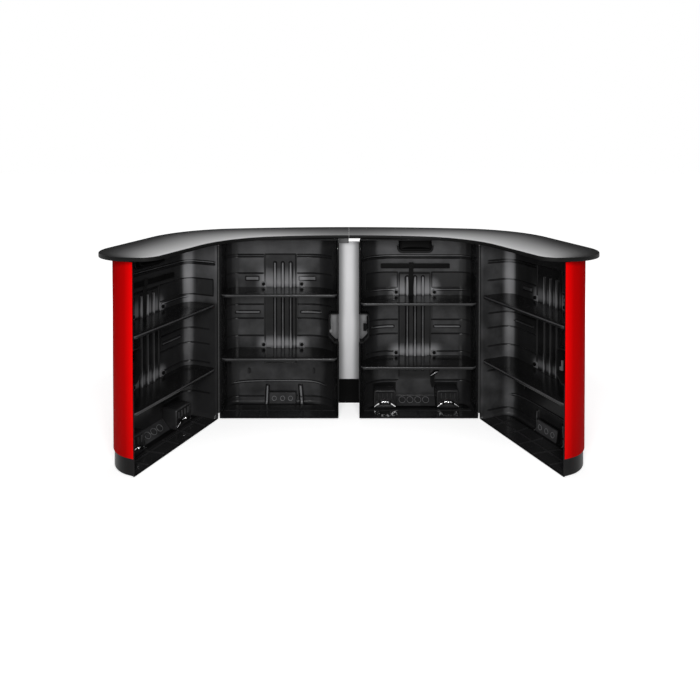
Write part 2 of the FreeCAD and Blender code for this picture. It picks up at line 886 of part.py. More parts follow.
def make_latch(name, seat):
    """A turn latch through the floor of the recess: nut, stem, tongue, disc and finger wing on one axis."""
    side = seat.side
    depth, height = latch_depth, dim.recess_middle
    wall_inside = recess_floor - dim.shell_wall
    nut_high = wall_inside - dim.latch_gap
    nut_low = nut_high - dim.latch_nut_length
    disc_high = tongue_high + dim.turn_disc_thick
    half = dim.tongue_width / 2
    wing = dim.wing_length / 2
    wing_half = dim.wing_width / 2
    solids = [
        lying_across(name + "_nut", side, nut_low, nut_high, depth, height, dim.latch_nut_radius),
        lying_across(name + "_stem", side, nut_low, tongue_low, depth, height, dim.stem_radius),
        lying_across(name + "_disc", side, tongue_high, disc_high, depth, height, dim.turn_disc_radius),
        block(name + "_tongue", tongue_low, tongue_high, depth - half, depth + half,
              height - half, height + dim.tongue_length, side),
        block(name + "_wing", disc_high, disc_high + dim.wing_height, depth - wing_half, depth + wing_half,
              height - wing, height + wing, side),
    ]
    seated(joined(name, solids), name, seat)


def make_keeper(name, seat):
    """The hook in a lid shell's recess, under which the tongue of a closed case turns."""
    side = seat.side
    near, far = dim.keeper_depth, dim.keeper_depth + dim.keeper_thick
    bridge_low = tongue_high + dim.keeper_gap
    bridge_high = bridge_low + dim.keeper_bridge
    leg_high = dim.recess_middle - dim.tongue_width / 2 - dim.keeper_gap
    leg_low = leg_high - dim.keeper_leg
    bridge_top = dim.recess_middle + dim.tongue_width / 2 + dim.keeper_reach
    solids = [
        block(name + "_leg", recess_floor, bridge_high, near, far, leg_low, leg_high, side),
        block(name + "_bridge", bridge_low, bridge_high, near, far, leg_low, bridge_top, side),
    ]
    seated(joined(name, solids), name, seat)


def make_wheel(name, seat, inset):
    """A moulded wheel, turned about its axle: hub, web and tread."""
    body = new_body(name)
    sketch = new_sketch(body, "Section")
    half, hub, web = dim.wheel_width / 2, dim.hub_length / 2, dim.web_width / 2
    bore = dim.axle_radius + dim.axle_play
    shoulder = dim.wheel_radius - dim.tread_round
    right = [
        (hub, bore),
        (hub, dim.hub_radius),
        (web, dim.hub_radius),
        (web, dim.rim_inner_radius),
        (half, dim.rim_inner_radius),
        (half, shoulder, dim.tread_round, COUNTERCLOCKWISE),
        (half - dim.tread_round, dim.wheel_radius),
    ]
    left = [(-x, y) + tuple(arc) for x, y, *arc in reverse_path(right)]
    left = [corner[:3] + (-corner[3],) if len(corner) > 2 else corner for corner in left]
    draw(sketch, right + left)
    turned = body.newObject("PartDesign::Revolution", "Turned")
    turned.Profile = sketch
    turned.ReferenceAxis = (sketch, ["H_Axis"])
    turned.Angle = 360
    seated(body, name, seat, inset, wheel_depth, wheel_height)


def make_axles(name, seat):
    """The two axle bolts of a case, each with a round nut at both ends."""
    solids = []
    for number, inset in enumerate(WHEEL_INSETS, start=1):
        label = "%s_%d" % (name, number)
        low, high = inset - housing_half, inset + housing_half
        nut = dim.axle_nut_length
        radius = dim.axle_nut_radius
        solids += [
            lying_across(label, seat.side, low, high, wheel_depth, wheel_height, dim.axle_radius),
            lying_across(label + "_nut_a", seat.side, low - nut, low, wheel_depth, wheel_height, radius),
            lying_across(label + "_nut_b", seat.side, high, high + nut, wheel_depth, wheel_height, radius),
        ]
    seated(joined(name, solids), name, seat)


def make_grip_cup(name, seat):
    """The cup that a hand reaches into from the back: sloping front, and a flange on the inside of the wall."""
    side = seat.side
    half = dim.grip_width / 2 - dim.cup_fit
    rise = dim.grip_height - 2 * dim.cup_fit
    bottom = grip_middle - rise / 2
    top = bottom + rise
    front = inner_back - dim.grip_depth
    wall = dim.cup_wall
    lean = dim.grip_slope * wall / rise
    flange = dim.grip_width / 2 + dim.cup_flange
    body = new_body(name)
    box = new_sketch(body, "Box", side * middle, "YZ_Plane")
    back = dim.shell_depth
    draw(box, [(back, bottom), (front, bottom), (front + dim.grip_slope, top), (back, top)])
    add(body, "BoxPad", box, 2 * half, both_ways=True)
    rim = new_sketch(body, "Flange", grip_middle - dim.grip_height / 2 - dim.cup_flange)
    draw_box(rim, middle - flange, middle + flange, inner_back - wall, inner_back, side)
    add(body, "FlangePad", rim, dim.grip_height + 2 * dim.cup_flange)
    inside = new_sketch(body, "Inside", side * middle, "YZ_Plane")
    draw(inside, [
        (back + PAST, bottom + wall),
        (front + wall + lean, bottom + wall),
        (front + wall + dim.grip_slope - lean, top - wall),
        (back + PAST, top - wall),
    ])
    cut(body, "InsideCut", inside, 2 * (half - wall), both_ways=True)
    seated(body, name, seat)


bar_back = inner_back - dim.bar_stand
bar_front = bar_back - dim.bar_thick
bar_low = dim.shell_height - dim.bar_drop - dim.bar_height / 2
bar_high = bar_low + dim.bar_height


def make_strap_bar(name, seat):
    """A flat bar across the back wall, on two feet."""
    side = seat.side
    near, far = dim.bar_hinge_inset, curve_start + dim.bar_past_curve
    solids = [block(name + "_bar", near, far, bar_front, bar_back, bar_low, bar_high, side)]
    for end, inset in (("a", near + dim.bar_foot_inset), ("b", curve_start - dim.bar_foot_back)):
        low, high = inset - dim.bar_foot_width / 2, inset + dim.bar_foot_width / 2
        solids.append(block(name + "_foot_" + end, low, high, bar_back, inner_back, bar_low, bar_high, side))
    seated(joined(name, solids), name, seat)


def make_strap(name, seat):
    """Webbing with a loop round the bar that hangs down behind the upper shelf, and a short tail in the buckle."""
    side = seat.side
    gap, thick = dim.strap_play, dim.strap_thick
    body = new_body(name + "_band")
    sketch = new_sketch(body, "Loop", side * (middle + dim.rib_pitch / 2), "YZ_Plane")
    front, back = bar_front - gap, bar_back + gap
    low, high = bar_low - gap, bar_high + gap
    draw(sketch, [
        (front - thick, high + thick),
        (back + thick, high + thick),
        (back + thick, dim.strap_end),
        (back, dim.strap_end),
        (back, low - thick),
        (front - thick, low - thick),
    ])
    draw_box(sketch, front, back, low, high)
    add(body, "LoopPad", sketch, dim.strap_width, both_ways=True)
    half = dim.strap_width / 2
    across = middle - dim.tail_spread
    tail_back = inner_back - dim.tail_stand
    tail = block(name + "_tail", across - half, across + half, tail_back - thick, tail_back,
                 dim.tail_bottom, dim.tail_top, side)
    seated(joined(name, [body, tail]), name, seat)


def make_buckle(name, seat):
    """A flat metal loop on the back wall that holds the tail of the strap."""
    side = seat.side
    across = middle - dim.tail_spread
    half = dim.buckle_width / 2
    low = dim.buckle_top - dim.buckle_height
    plate = block(name + "_plate", across - half, across + half, inner_back - dim.buckle_thick, inner_back,
                  low, dim.buckle_top, side)
    slot_half = dim.strap_width / 2 + dim.strap_play
    slot_back = inner_back - dim.tail_stand + dim.strap_play
    slot_front = slot_back - dim.strap_thick - 2 * dim.strap_play
    slot = block(name + "_slot", across - slot_half, across + slot_half, slot_front, slot_back,
                 low - PAST, dim.buckle_top + PAST, side)
    buckle = doc.addObject("Part::Cut", name)
    buckle.Base = plate
    buckle.Tool = slot
    seated(buckle, name, seat)


def sheet_path(stand, wraps_free_side):
    """One face of a graphic sheet: from the free side along the back, and round to the middle of the wedge."""
    back = dim.shell_depth + stand
    bend = dim.hinge_corner
    if wraps_free_side:
        path = [
            (dim.shell_width + stand, dim.sheet_rim_inset),
            (dim.shell_width + stand, dim.free_straight, free_corner + stand, COUNTERCLOCKWISE),
            (curve_start, back),
        ]
    else:
        path = [(dim.shell_width - dim.sheet_free_inset, back)]
    centre_depth = -dim.rim_gap - (bend + dim.hinge_stand) * cosine(half_wedge) / sine(half_wedge)
    radius = back - centre_depth
    sweep = half_wedge - DEGREES_PER_RADIAN * dim.seam_gap / (2 * radius)
    path.append((bend, back, radius, COUNTERCLOCKWISE))
    path.append((bend - radius * sine(sweep), centre_depth + radius * cosine(sweep)))
    return path


def make_sheet(name, seat, wraps_free_side):
    body = new_body(name)
    sketch = new_sketch(body, "Section", dim.sheet_bottom)
    near = sheet_path(dim.rail_height, wraps_free_side)
    far = sheet_path(dim.rail_height + dim.sheet_thick, wraps_free_side)
    draw(sketch, near + reverse_path(far), seat.side)
    add(body, "SheetPad", sketch, dim.shell_height - dim.sheet_top_gap - dim.sheet_bottom)
    seated(body, name, seat)


def make_centre():
    """The sheet over the gap between the cases, and the kick strip behind its lower edge."""
    sheet_face = rim_plane + dim.shell_depth + dim.rail_height + dim.sheet_thick
    half, kick_half = dim.centre_width / 2, dim.kick_width / 2
    top = dim.foot_height + dim.shell_height - dim.centre_top_gap
    panel = block("centre_sheet", -half, half, sheet_face, sheet_face + dim.sheet_thick, dim.centre_bottom, top)
    kick = block("centre_kick_strip", -kick_half, kick_half, sheet_face - dim.kick_thick, sheet_face,
                 dim.kick_bottom, dim.kick_top)
    pieces.extend([panel, kick])


def along(point, distance, direction):
    return point[0] + distance * direction[0], point[1] + distance * direction[1]


def top_path(inset):
    """Edge of the right half of the countertop, from the joint along the front, round the tip and back."""
    joint = dim.top_gap / 2
    front_normal = (sine(dim.front_angle), cosine(dim.front_angle))
    outer_normal = (sine(dim.outer_angle), cosine(dim.outer_angle))
    outer_way = (cosine(dim.outer_angle), -sine(dim.outer_angle))
    inner_normal = (sine(dim.inner_angle), cosine(dim.inner_angle))
    hollow_normal = (sine(dim.hollow_angle), cosine(dim.hollow_angle))
    hollow_way = (cosine(dim.hollow_angle), -sine(dim.hollow_angle))

    front_centre = (joint, dim.top_front - dim.front_radius)
    shoulder_centre = along(front_centre, dim.front_radius - dim.shoulder_radius, front_normal)
    step = dim.shoulder_radius - dim.tip_radius
    drop = shoulder_centre[1] + step * outer_normal[1] + dim.top_near - dim.tip_radius
    tip_centre = along(along(shoulder_centre, step, outer_normal), drop / outer_normal[0], outer_way)

    inner_centre = (joint, dim.top_inner - dim.inner_radius)
    hollow_centre = along(inner_centre, dim.inner_radius - dim.hollow_radius, inner_normal)
    reach = dim.hollow_radius + dim.heel_radius
    fall = hollow_centre[1] + reach * hollow_normal[1] + dim.top_near - dim.heel_radius
    heel_centre = along(along(hollow_centre, reach, hollow_normal), fall / hollow_normal[0], hollow_way)

    front, shoulder, tip = (size - inset for size in (dim.front_radius, dim.shoulder_radius, dim.tip_radius))
    heel = dim.heel_radius - inset
    hollow, inner = dim.hollow_radius + inset, dim.inner_radius + inset
    near = -dim.top_near + inset
    return [
        (joint, dim.top_front - inset, front, CLOCKWISE),
        along(front_centre, front, front_normal) + (shoulder, CLOCKWISE),
        along(shoulder_centre, shoulder, outer_normal),
        along(tip_centre, tip, outer_normal) + (tip, CLOCKWISE),
        (tip_centre[0], near),
        (heel_centre[0], near, heel, CLOCKWISE),
        along(heel_centre, -heel, hollow_normal),
        along(hollow_centre, hollow, hollow_normal) + (hollow, COUNTERCLOCKWISE),
        along(inner_centre, inner, inner_normal) + (inner, COUNTERCLOCKWISE),
        (joint, dim.top_inner + inset),
    ]


top_bottom = dim.foot_height + dim.shell_height + dim.pad_thick


def make_top(name, side):
    """Half of the countertop: a board and the band round all of its edge but the joint."""
    board = new_body(name + "_board")
    outline = new_sketch(board, "Outline")
    draw(outline, top_path(dim.band_thick), side)
    add(board, "BoardPad", outline, dim.top_thick)
    band = new_body(name + "_edge_band")
    strip = new_sketch(band, "Strip")
    draw(strip, top_path(as_size(0)) + reverse_path(top_path(dim.band_thick)), side)
    add(band, "BandPad", strip, dim.top_thick)
    for body, label in ((board, name + "_board"), (band, name + "_edge_band")):
        place(body, 0, rim_plane, top_bottom)
        body.Label = label
        pieces.append(body)


def make_top_seats(name, inner, end):
    """Pegs into the inner shell, and pads over both shells; those over the wing are just clear of it."""
    pegs = []
    for mark, spread in (("a", -dim.peg_spread), ("b", dim.peg_spread)):
        across = inner.side * (middle + spread)
        low = dim.shell_height - dim.shell_wall - dim.peg_drop
        high = dim.shell_height + dim.pad_thick
        pegs.append(upright("%s_peg_%s" % (name, mark), across, dim.peg_depth, low, high, dim.peg_radius))
    seated(joined(name + "_pegs", pegs), name + "_pegs", inner)
    pads = []
    for mark, seat, clear in (("inner", inner, as_size(0)), ("end", end, dim.pad_clear)):
        for number, inset in enumerate((dim.pad_inset, dim.shell_width - dim.pad_inset), start=1):
            x, y = seat.plan(inset, dim.pad_depth)
            low = dim.foot_height + dim.shell_height + clear
            pads.append(upright("%s_pad_%s_%d" % (name, mark, number), x, y, low, top_bottom, dim.pad_radius))
    group = joined(name + "_pads", pads)
    group.Label = name + "_pads"
    pieces.append(group)


def make_wheel_fittings(name, seat):
    """What only a wheel shell carries."""
    for end, inset in zip(("hinge", "free"), WHEEL_INSETS):
        make_wheel("%s_%s_wheel" % (name, end), seat, inset)
    make_axles(name + "_axles", seat)
    make_grip_cup(name + "_grip_cup", seat)
    make_strap_bar(name + "_strap_bar", seat)
    make_strap(name + "_strap", seat)
    make_buckle(name + "_strap_buckle", seat)
    make_latch(name + "_latch", seat)


def make_half_case(name, seat):
    if seat.side == WHEEL:
        shelf_tops = (dim.wheel_upper_shelf, dim.wheel_lower_shelf)
    else:
        shelf_tops = (dim.lid_upper_shelf, dim.lid_lower_shelf)
    make_shell(name, seat)
    make_shelf(name + "_upper_shelf", seat, shelf_tops[0])
    make_shelf(name + "_lower_shelf", seat, shelf_tops[1])
    make_knobs(name, seat, shelf_tops)
    make_feet(name, seat)
    make_leaf(name + "_hinge_leaf", seat, first=0 if seat.spin == 0 else 1)
    make_sheet(name + "_graphic_sheet", seat, wraps_free_side=seat.spin != 0)
    if seat.side == WHEEL:
        make_wheel_fittings(name, seat)
    else:
        make_keeper(name + "_keeper", seat)


for seat_name, seat in SEATS.items():
    make_half_case(seat_name, seat)
make_pin("left_hinge_pin", SEATS["left_inner"])
make_pin("right_hinge_pin", SEATS["right_inner"])
make_centre()
make_top("left_top", -1)
make_top("right_top", 1)
make_top_seats("left_top", SEATS["left_inner"], SEATS["left_end"])
make_top_seats("right_top", SEATS["right_inner"], SEATS["right_end"])
doc.recompute()

for thing in doc.Objects:
    if "Invalid" in thing.State or "Error" in thing.State:
        raise RuntimeError("%s failed: %s" % (thing.Name, thing.State))
for piece in pieces:
    if piece.Shape.isNull() or not piece.Shape.isValid():
        raise RuntimeError("bad shape: " + piece.Label)

os.makedirs("parts", exist_ok=True)
for piece in pieces:
    piece.Shape.exportStep("parts/%s.step" % piece.Label)
    print(piece.Label, len(piece.Shape.Solids), round(piece.Shape.Volume / 1000, 1))
print("pieces", len(pieces))
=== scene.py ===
import bpy
import bmesh
import json
import math
import numpy as np
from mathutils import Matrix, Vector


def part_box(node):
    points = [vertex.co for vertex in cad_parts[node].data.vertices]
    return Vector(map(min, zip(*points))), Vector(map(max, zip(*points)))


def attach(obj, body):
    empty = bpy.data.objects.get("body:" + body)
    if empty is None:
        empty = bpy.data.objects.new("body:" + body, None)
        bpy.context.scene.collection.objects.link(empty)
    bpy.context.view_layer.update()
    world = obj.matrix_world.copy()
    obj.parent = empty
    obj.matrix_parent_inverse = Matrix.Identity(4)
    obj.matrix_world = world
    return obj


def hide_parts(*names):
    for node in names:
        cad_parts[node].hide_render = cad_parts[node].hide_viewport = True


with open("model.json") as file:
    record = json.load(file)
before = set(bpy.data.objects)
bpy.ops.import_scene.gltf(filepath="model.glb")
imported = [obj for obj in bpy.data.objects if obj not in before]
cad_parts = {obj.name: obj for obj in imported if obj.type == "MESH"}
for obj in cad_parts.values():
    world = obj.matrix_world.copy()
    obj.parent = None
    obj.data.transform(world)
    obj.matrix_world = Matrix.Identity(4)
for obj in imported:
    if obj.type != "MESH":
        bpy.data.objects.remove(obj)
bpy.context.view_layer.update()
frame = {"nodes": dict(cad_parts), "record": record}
nodes = frame["nodes"]

MM = 0.001


def box_mm(node):
    """A node's lowest and highest corner in millimetres, to a hundredth."""
    return [np.round(np.array(corner) / MM, 2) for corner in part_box(node)]


# Main sizes in millimetres. A shell's box reaches out to the rails on its back and on its free side.
RAIL, SHEET_THICK = 3, 2
shell_low, shell_high = box_mm("left_inner_shell")
SHELL_WIDTH, SHELL_DEPTH, SHELL_HEIGHT = shell_high - shell_low - (RAIL, RAIL, 0)
HINGE_SIDE, RIM_PLANE, FOOT = shell_low * (-1, 1, 1)
WALL = 4
HINGE_CORNER = 50
FREE_STRAIGHT = 35
FREE_CORNER = SHELL_DEPTH - FREE_STRAIGHT
CURVE_START = SHELL_WIDTH - FREE_CORNER
MIDDLE = SHELL_WIDTH / 2
INNER_BACK = SHELL_DEPTH - WALL
WING_ANGLE = math.radians(67.2)
HINGE_STAND, RIM_GAP = 4.5, 0.5
LID, WHEEL = 1, -1


class Seat:
    """Where a half-shell stands; its points are (s, d, z), off its hinge side, its rim and its underside."""

    def __init__(self, name, body, kind, spin):
        self.name = name
        self.body = body
        self.kind = kind
        self.spin = spin

    def to_row(self, points):
        """Shell points in millimetres to the frame in metres: mirror, turn about the hinge, shift."""
        s, d, z = np.moveaxis(np.asarray(points, float), -1, 0)
        if self.spin == 0:
            x = self.kind * (s - HINGE_SIDE)
            y = RIM_PLANE + d
        else:
            across = self.kind * (s + HINGE_STAND)
            deep = d + RIM_GAP
            cos_turn, sin_turn = math.cos(WING_ANGLE), self.spin * math.sin(WING_ANGLE)
            x = -self.spin * (HINGE_SIDE + HINGE_STAND) + across * cos_turn - deep * sin_turn
            y = RIM_PLANE - RIM_GAP + across * sin_turn + deep * cos_turn
        return joined(x, y, z + FOOT) * MM


SEATS = [
    Seat("left_inner", "middle", LID, 0),
    Seat("right_inner", "middle", WHEEL, 0),
    Seat("left_end", "left_wing", WHEEL, 1),
    Seat("right_end", "right_wing", LID, -1),
]

# Finishes
MATERIALS = {}


def node_tree(name):
    """The node tree and the shader of a new material, which is kept under its name."""
    material = MATERIALS[name] = bpy.data.materials.new(name)
    material.use_nodes = True
    tree = material.node_tree
    return tree, tree.nodes["Principled BSDF"]


def put(tree, value, socket):
    """Put a number on a socket, or join another node's output to it."""
    if isinstance(value, bpy.types.NodeSocket):
        tree.links.new(value, socket)
    else:
        socket.default_value = value


def set_inputs(tree, node, **inputs):
    """Fill a node's sockets by their names, with _ for each space."""
    for name, value in inputs.items():
        put(tree, value, node.inputs[name.replace("_", " ")])


def add_node(tree, kind, **inputs):
    node = tree.nodes.new("ShaderNode" + kind)
    set_inputs(tree, node, **inputs)
    return node


def math_node(tree, operation, *values):
    """The result of a Math node on numbers and other nodes' outputs."""
    node = add_node(tree, "Math")
    node.operation = operation
    for value, socket in zip(values, node.inputs):
        put(tree, value, socket)
    return node.outputs["Value"]


def noise_on_object(tree, scale, detail=3):
    """Noise that is fixed to the piece."""
    where = add_node(tree, "TexCoord").outputs["Object"]
    return add_node(tree, "TexNoise", Vector=where, Scale=scale, Detail=detail).outputs["Fac"]


def by_fade(tree):
    """The fade that a piece carries on its points."""
    node = add_node(tree, "Attribute")
    node.attribute_name = "fade"
    return node.outputs["Fac"]


def spread(tree, source, low, high):
    """Spread a 0 to 1 value between two numbers."""
    return add_node(tree, "MapRange", Value=source, To_Min=low, To_Max=high).outputs["Result"]


def ramp(tree, source, *stops):
    """A colour by a 0 to 1 value, between stops of (place, colour)."""
    node = add_node(tree, "ValToRGB", Fac=source)
    elements = node.color_ramp.elements
    for stop in stops[1:-1]:
        elements.new(stop[0])
    for element, (place, colour) in zip(elements, stops):
        element.position = place
        element.color = (*colour, 1)
    return node.outputs["Color"]


def two_tone(tree, source, dark, light):
    """A colour between two: dark up to 0.3 of a value, light from 0.7."""
    return ramp(tree, source, (0.3, dark), (0.7, light))


def bumped(tree, shader, height, strength, distance):
    bump = add_node(tree, "Bump", Height=height, Strength=strength, Distance=distance)
    set_inputs(tree, shader, Normal=bump.outputs["Normal"])


def plastic_skin(tree, shader, cloud, rough, specular, depth, wave):
    """The skin of moulded plastic: uneven gloss, a fine grain and, on large walls, a slow waviness."""
    height = noise_on_object(tree, 900, detail=2)
    if wave:
        height = math_node(tree, "MULTIPLY_ADD", noise_on_object(tree, 14, detail=1), wave, height)
    gloss = spread(tree, cloud, 0.8 * rough, 1.25 * rough)
    set_inputs(tree, shader, Roughness=gloss, Specular_IOR_Level=specular)
    bumped(tree, shader, height, 0.5, depth)


def moulded_plastic(name, dark, light, rough, specular=0.5, depth=0.00004, wave=0):
    """Moulded plastic with a slow change of tone."""
    tree, shader = node_tree(name)
    cloud = noise_on_object(tree, 9)
    set_inputs(tree, shader, Base_Color=two_tone(tree, cloud, dark, light))
    plastic_skin(tree, shader, cloud, rough, specular, depth, wave)


def toned_plastic(name, stops, rough, specular, depth=0.0001, wave=6):
    """Moulded plastic whose base colour follows the fade, which carries painted light: low in lines and
    hollows, high on raised parts.
    """
    tree, shader = node_tree(name)
    cloud = noise_on_object(tree, 9)
    uneven = math_node(tree, "MULTIPLY_ADD", cloud, 0.25, by_fade(tree))
    colours = [(place, (level, level, 1.03 * level)) for place, level in stops]
    set_inputs(tree, shader, Base_Color=ramp(tree, uneven, *colours))
    plastic_skin(tree, shader, cloud, rough, specular, depth, wave)


def film(name, dark, light, rough, specular, deep=None):
    """Printed film with a very fine orange peel; the fade leads away from a deep colour, if there is one,
    which is painted shade.
    """
    tree, shader = node_tree(name)
    colour = two_tone(tree, noise_on_object(tree, 6, detail=2), dark, light)
    if deep:
        mix = add_node(tree, "Mix")
        mix.data_type = "RGBA"
        set_inputs(tree, mix, Factor=by_fade(tree), A=(*deep, 1), B=colour)
        colour = mix.outputs["Result"]
    peel = noise_on_object(tree, 700, detail=1)
    gloss = spread(tree, peel, 0.9 * rough, 1.1 * rough)
    set_inputs(tree, shader, Base_Color=colour, Roughness=gloss, Specular_IOR_Level=specular)
    bumped(tree, shader, peel, 0.3, 0.00003)


def bare_metal(name, colour, rough):
    """Bright metal with a fine polished grain."""
    tree, shader = node_tree(name)
    grain = noise_on_object(tree, 300)
    shade = [0.85 * part for part in colour]
    gloss = spread(tree, grain, 0.7 * rough, 1.3 * rough)
    set_inputs(tree, shader, Base_Color=two_tone(tree, grain, shade, colour), Roughness=gloss, Metallic=1)
    bumped(tree, shader, grain, 0.2, 0.00003)


def webbing(name, dark, light):
    """Woven strap: fine bands across it as the weave, matt."""
    tree, shader = node_tree(name)
    where = add_node(tree, "TexCoord").outputs["Object"]
    wave = add_node(tree, "TexWave", Vector=where, Scale=420, Distortion=0.4)
    wave.bands_direction = "Z"
    weave = wave.outputs["Fac"]
    colour = two_tone(tree, weave, dark, light)
    set_inputs(tree, shader, Base_Color=colour, Roughness=0.85, Specular_IOR_Level=0.1)
    bumped(tree, shader, weave, 0.6, 0.0002)


def laminate(name, dark, light, rough):
    """Pearl laminate: fine flakes in a closed surface, from dark to light and smoother by the fade; the dark
    to light is a painted reflection.
    """
    tree, shader = node_tree(name)
    pearl = noise_on_object(tree, 1200, detail=2)
    fade = by_fade(tree)
    colour = ramp(tree, math_node(tree, "MULTIPLY_ADD", pearl, 0.04, fade), (0, dark), (1, light))
    gloss = spread(tree, fade, rough, 0.45 * rough)
    set_inputs(tree, shader, Base_Color=colour, Roughness=gloss, Specular_IOR_Level=0.01)
    bumped(tree, shader, pearl, 0.2, 0.00002)


def grey(level, blue=0):
    """A neutral colour with a little blue added."""
    return level, level, level + blue


moulded_plastic("shell_black", grey(0.003, 0.0001), grey(0.005, 0.0002), 0.35, 0.08, depth=0.0001, wave=3)
toned_plastic("shell_inside", ((0, 0.0012), (0.4, 0.019), (1, 0.2)), 0.2, 0.1)
toned_plastic("shelf_black", ((0, 0.002), (0.4, 0.012), (1, 0.12)), 0.18, 0.2, wave=3)
moulded_plastic("fitting_black", grey(0.0012), grey(0.0025), 0.6, 0.05)
moulded_plastic("foot_rubber", grey(0.012), grey(0.02), 0.75)
moulded_plastic("hinge_black", grey(0.01), grey(0.016), 0.3)
bare_metal("pin_steel", grey(0.45, 0.01), 0.3)
moulded_plastic("keeper_steel", grey(0.07, 0.001), grey(0.09, 0.002), 0.35)
bare_metal("bright_nuts", grey(0.9, 0.01), 0.1)
moulded_plastic("wheel_plastic", grey(0.012), grey(0.02), 0.5)
webbing("strap_webbing", grey(0.002), grey(0.007))
bare_metal("buckle_metal", grey(0.5, 0.01), 0.25)
# deep is painted shade: on the red sheets off the rim, on the grey sheet towards both sides of the gap.
film("sheet_red", (0.74, 0.0008, 0.001), (0.78, 0.001, 0.0014), 0.7, 0.02, deep=(0.4, 0.0005, 0.0007))
film("sheet_grey", grey(0.66, 0.01), grey(0.69, 0.01), 0.5, 0.1, deep=grey(0.28, 0.005))
film("kick_black", grey(0.001), grey(0.002), 0.7, 0.05)
laminate("top_laminate", grey(0.001, 0.0001), grey(0.68, 0.005), 0.8)
moulded_plastic("band_black", grey(0.002), grey(0.004), 0.5, 0.08)
bare_metal("peg_metal", grey(0.6, 0.01), 0.3)

for subpart in frame["record"]["subparts"]:
    mesh = nodes[subpart["node"]].data
    mesh.materials.clear()
    mesh.materials.append(MATERIALS[subpart["material_slot"]])


# Curves and spacings
def smooth_step(low, high, x):
    """0 below low, 1 above high, with a soft S between."""
    t = np.clip((x - low) / (high - low), 0, 1)
    return t * t * (3 - 2 * t)


def band(x, low, high, soft):
    """1 between low and high, 0 outside, with soft shoulders."""
    half = soft / 2
    return smooth_step(low - half, low + half, x) - smooth_step(high - half, high + half, x)


def groove(x, middle, half):
    """A rounded line: 1 at the middle, 0 from half away, as a cosine."""
    return 0.5 + 0.5 * np.cos(math.pi * np.clip((x - middle) / half, -1, 1))


def half_round(away, half):
    """The round of a circle by the distance from its middle: 1 there, 0 from half away."""
    return np.sqrt(np.clip(1 - (away / half) ** 2, 0, 1))


def bead(u, z, ends, half):
    """A half-round bead between two points, by the distance from the line that joins them."""
    (u0, z0), (u1, z1) = ends
    run, rise = u1 - u0, z1 - z0
    share = np.clip(((u - u0) * run + (z - z0) * rise) / (run * run + rise * rise), 0, 1)
    return half_round(np.hypot(u - u0 - share * run, z - z0 - share * rise), half)


def lines(low, high, spacing, dense):
    """Grid lines between two ends: even ones, and closer ones over each stretch that carries relief."""
    parts = [np.arange(low, high, spacing), [high]]
    parts += [np.arange(start, end + step / 2, step) for start, end, step in dense]
    merged = np.unique(np.round(np.concatenate(parts), 2))
    return merged[(merged >= low) & (merged <= high)]


def circle(count):
    """Even angles once round a circle."""
    return np.linspace(0, 2 * math.pi, count, endpoint=False)


def joined(*axes):
    """Points from their coordinates along each axis."""
    return np.stack(np.broadcast_arrays(*axes), -1)


def arc(centre, radius, start, end, count=60):
    """Points on a circle; angles count from the second axis towards the first."""
    angle = np.linspace(start, end, count)
    return joined(centre[0] + radius * np.sin(angle), centre[1] + radius * np.cos(angle))


# Outlines and the forms that they are carried into
def rounded_loop(corners, arc_steps=6):
    """A closed outline of straight runs and arcs: each corner is (a, b, radius)."""
    points = np.array([corner[:2] for corner in corners], float)
    radius = np.array([corner[2] for corner in corners], float)
    come = points - np.roll(points, 1, 0)
    come /= np.linalg.norm(come, axis=1)[:, None]
    go = np.roll(come, -1, 0)
    turn = np.arctan2(come[:, 0] * go[:, 1] - come[:, 1] * go[:, 0], (come * go).sum(1))
    start = points - come * (radius * np.tan(np.abs(turn) / 2))[:, None]
    left = joined(-come[:, 1], come[:, 0]) * np.sign(turn)[:, None]
    centre = start + left * radius[:, None]
    angle = turn[:, None] * np.linspace(0, 1, arc_steps + 1)
    arm = -left * radius[:, None]
    a = centre[:, :1] + arm[:, :1] * np.cos(angle) - arm[:, 1:] * np.sin(angle)
    b = centre[:, 1:] + arm[:, :1] * np.sin(angle) + arm[:, 1:] * np.cos(angle)
    return joined(a, b).reshape(-1, 2)


def upright(half, low, high, low_radius, high_radius=None):
    """Corners of an outline as wide to the left as to the right, with one radius below and one above."""
    high_radius = high_radius or low_radius
    below = [(-half, low, low_radius), (half, low, low_radius)]
    return below + [(half, high, high_radius), (-half, high, high_radius)]


def outward(loop):
    """Unit normals of a closed outline, to its outside, from the run between each point's neighbours."""
    after = np.roll(loop, -1, 0)
    run = after - np.roll(loop, 1, 0)
    run = run / np.maximum(np.linalg.norm(run, axis=1), 1e-9)[:, None]
    area = (loop[:, 0] * after[:, 1] - loop[:, 1] * after[:, 0]).sum()
    return joined(run[:, 1], -run[:, 0]) * np.sign(area)


def carried(loop, steps):
    """Rings of an outline through (inset, height) steps; a step has one number, or one for every point."""
    normals, column = outward(loop), np.zeros((len(loop), 1))
    return np.stack([
        np.concatenate([loop - normals * np.reshape(inset, (-1, 1)), column + np.reshape(height, (-1, 1))], 1)
        for inset, height in steps
    ])


def tube(rings):
    """Rings along a path, closed at both ends by a point."""
    first, last = (np.broadcast_to(ring.mean(0), ring.shape) for ring in (rings[0], rings[-1]))
    return np.stack([first, *rings, last])


def plate(corners, thick, inward, upward=None):
    """A plate in (a, b, c), its outline in a and b: the edges of both faces are quarter ellipses."""
    angle = np.linspace(0, math.pi / 2, 5)
    inset, rise = inward * (1 - np.sin(angle)), (upward or inward) * (1 - np.cos(angle))
    steps = [*zip(inset, rise), *zip(inset[::-1], thick - rise[::-1])]
    return tube(carried(rounded_loop(corners), steps))


def turned(radius_and_height, lobes=0, lobe_depth=0, count=32):
    """A turned form in (a, b, c): rings of the given radius and height; lobes make the outline wavy."""
    angle = circle(count)
    profile = np.array(radius_and_height, float)
    ring = profile[:, :1] * (1 + lobe_depth * np.cos(lobes * angle))
    return joined(ring * np.cos(angle), ring * np.sin(angle), profile[:, 1:])


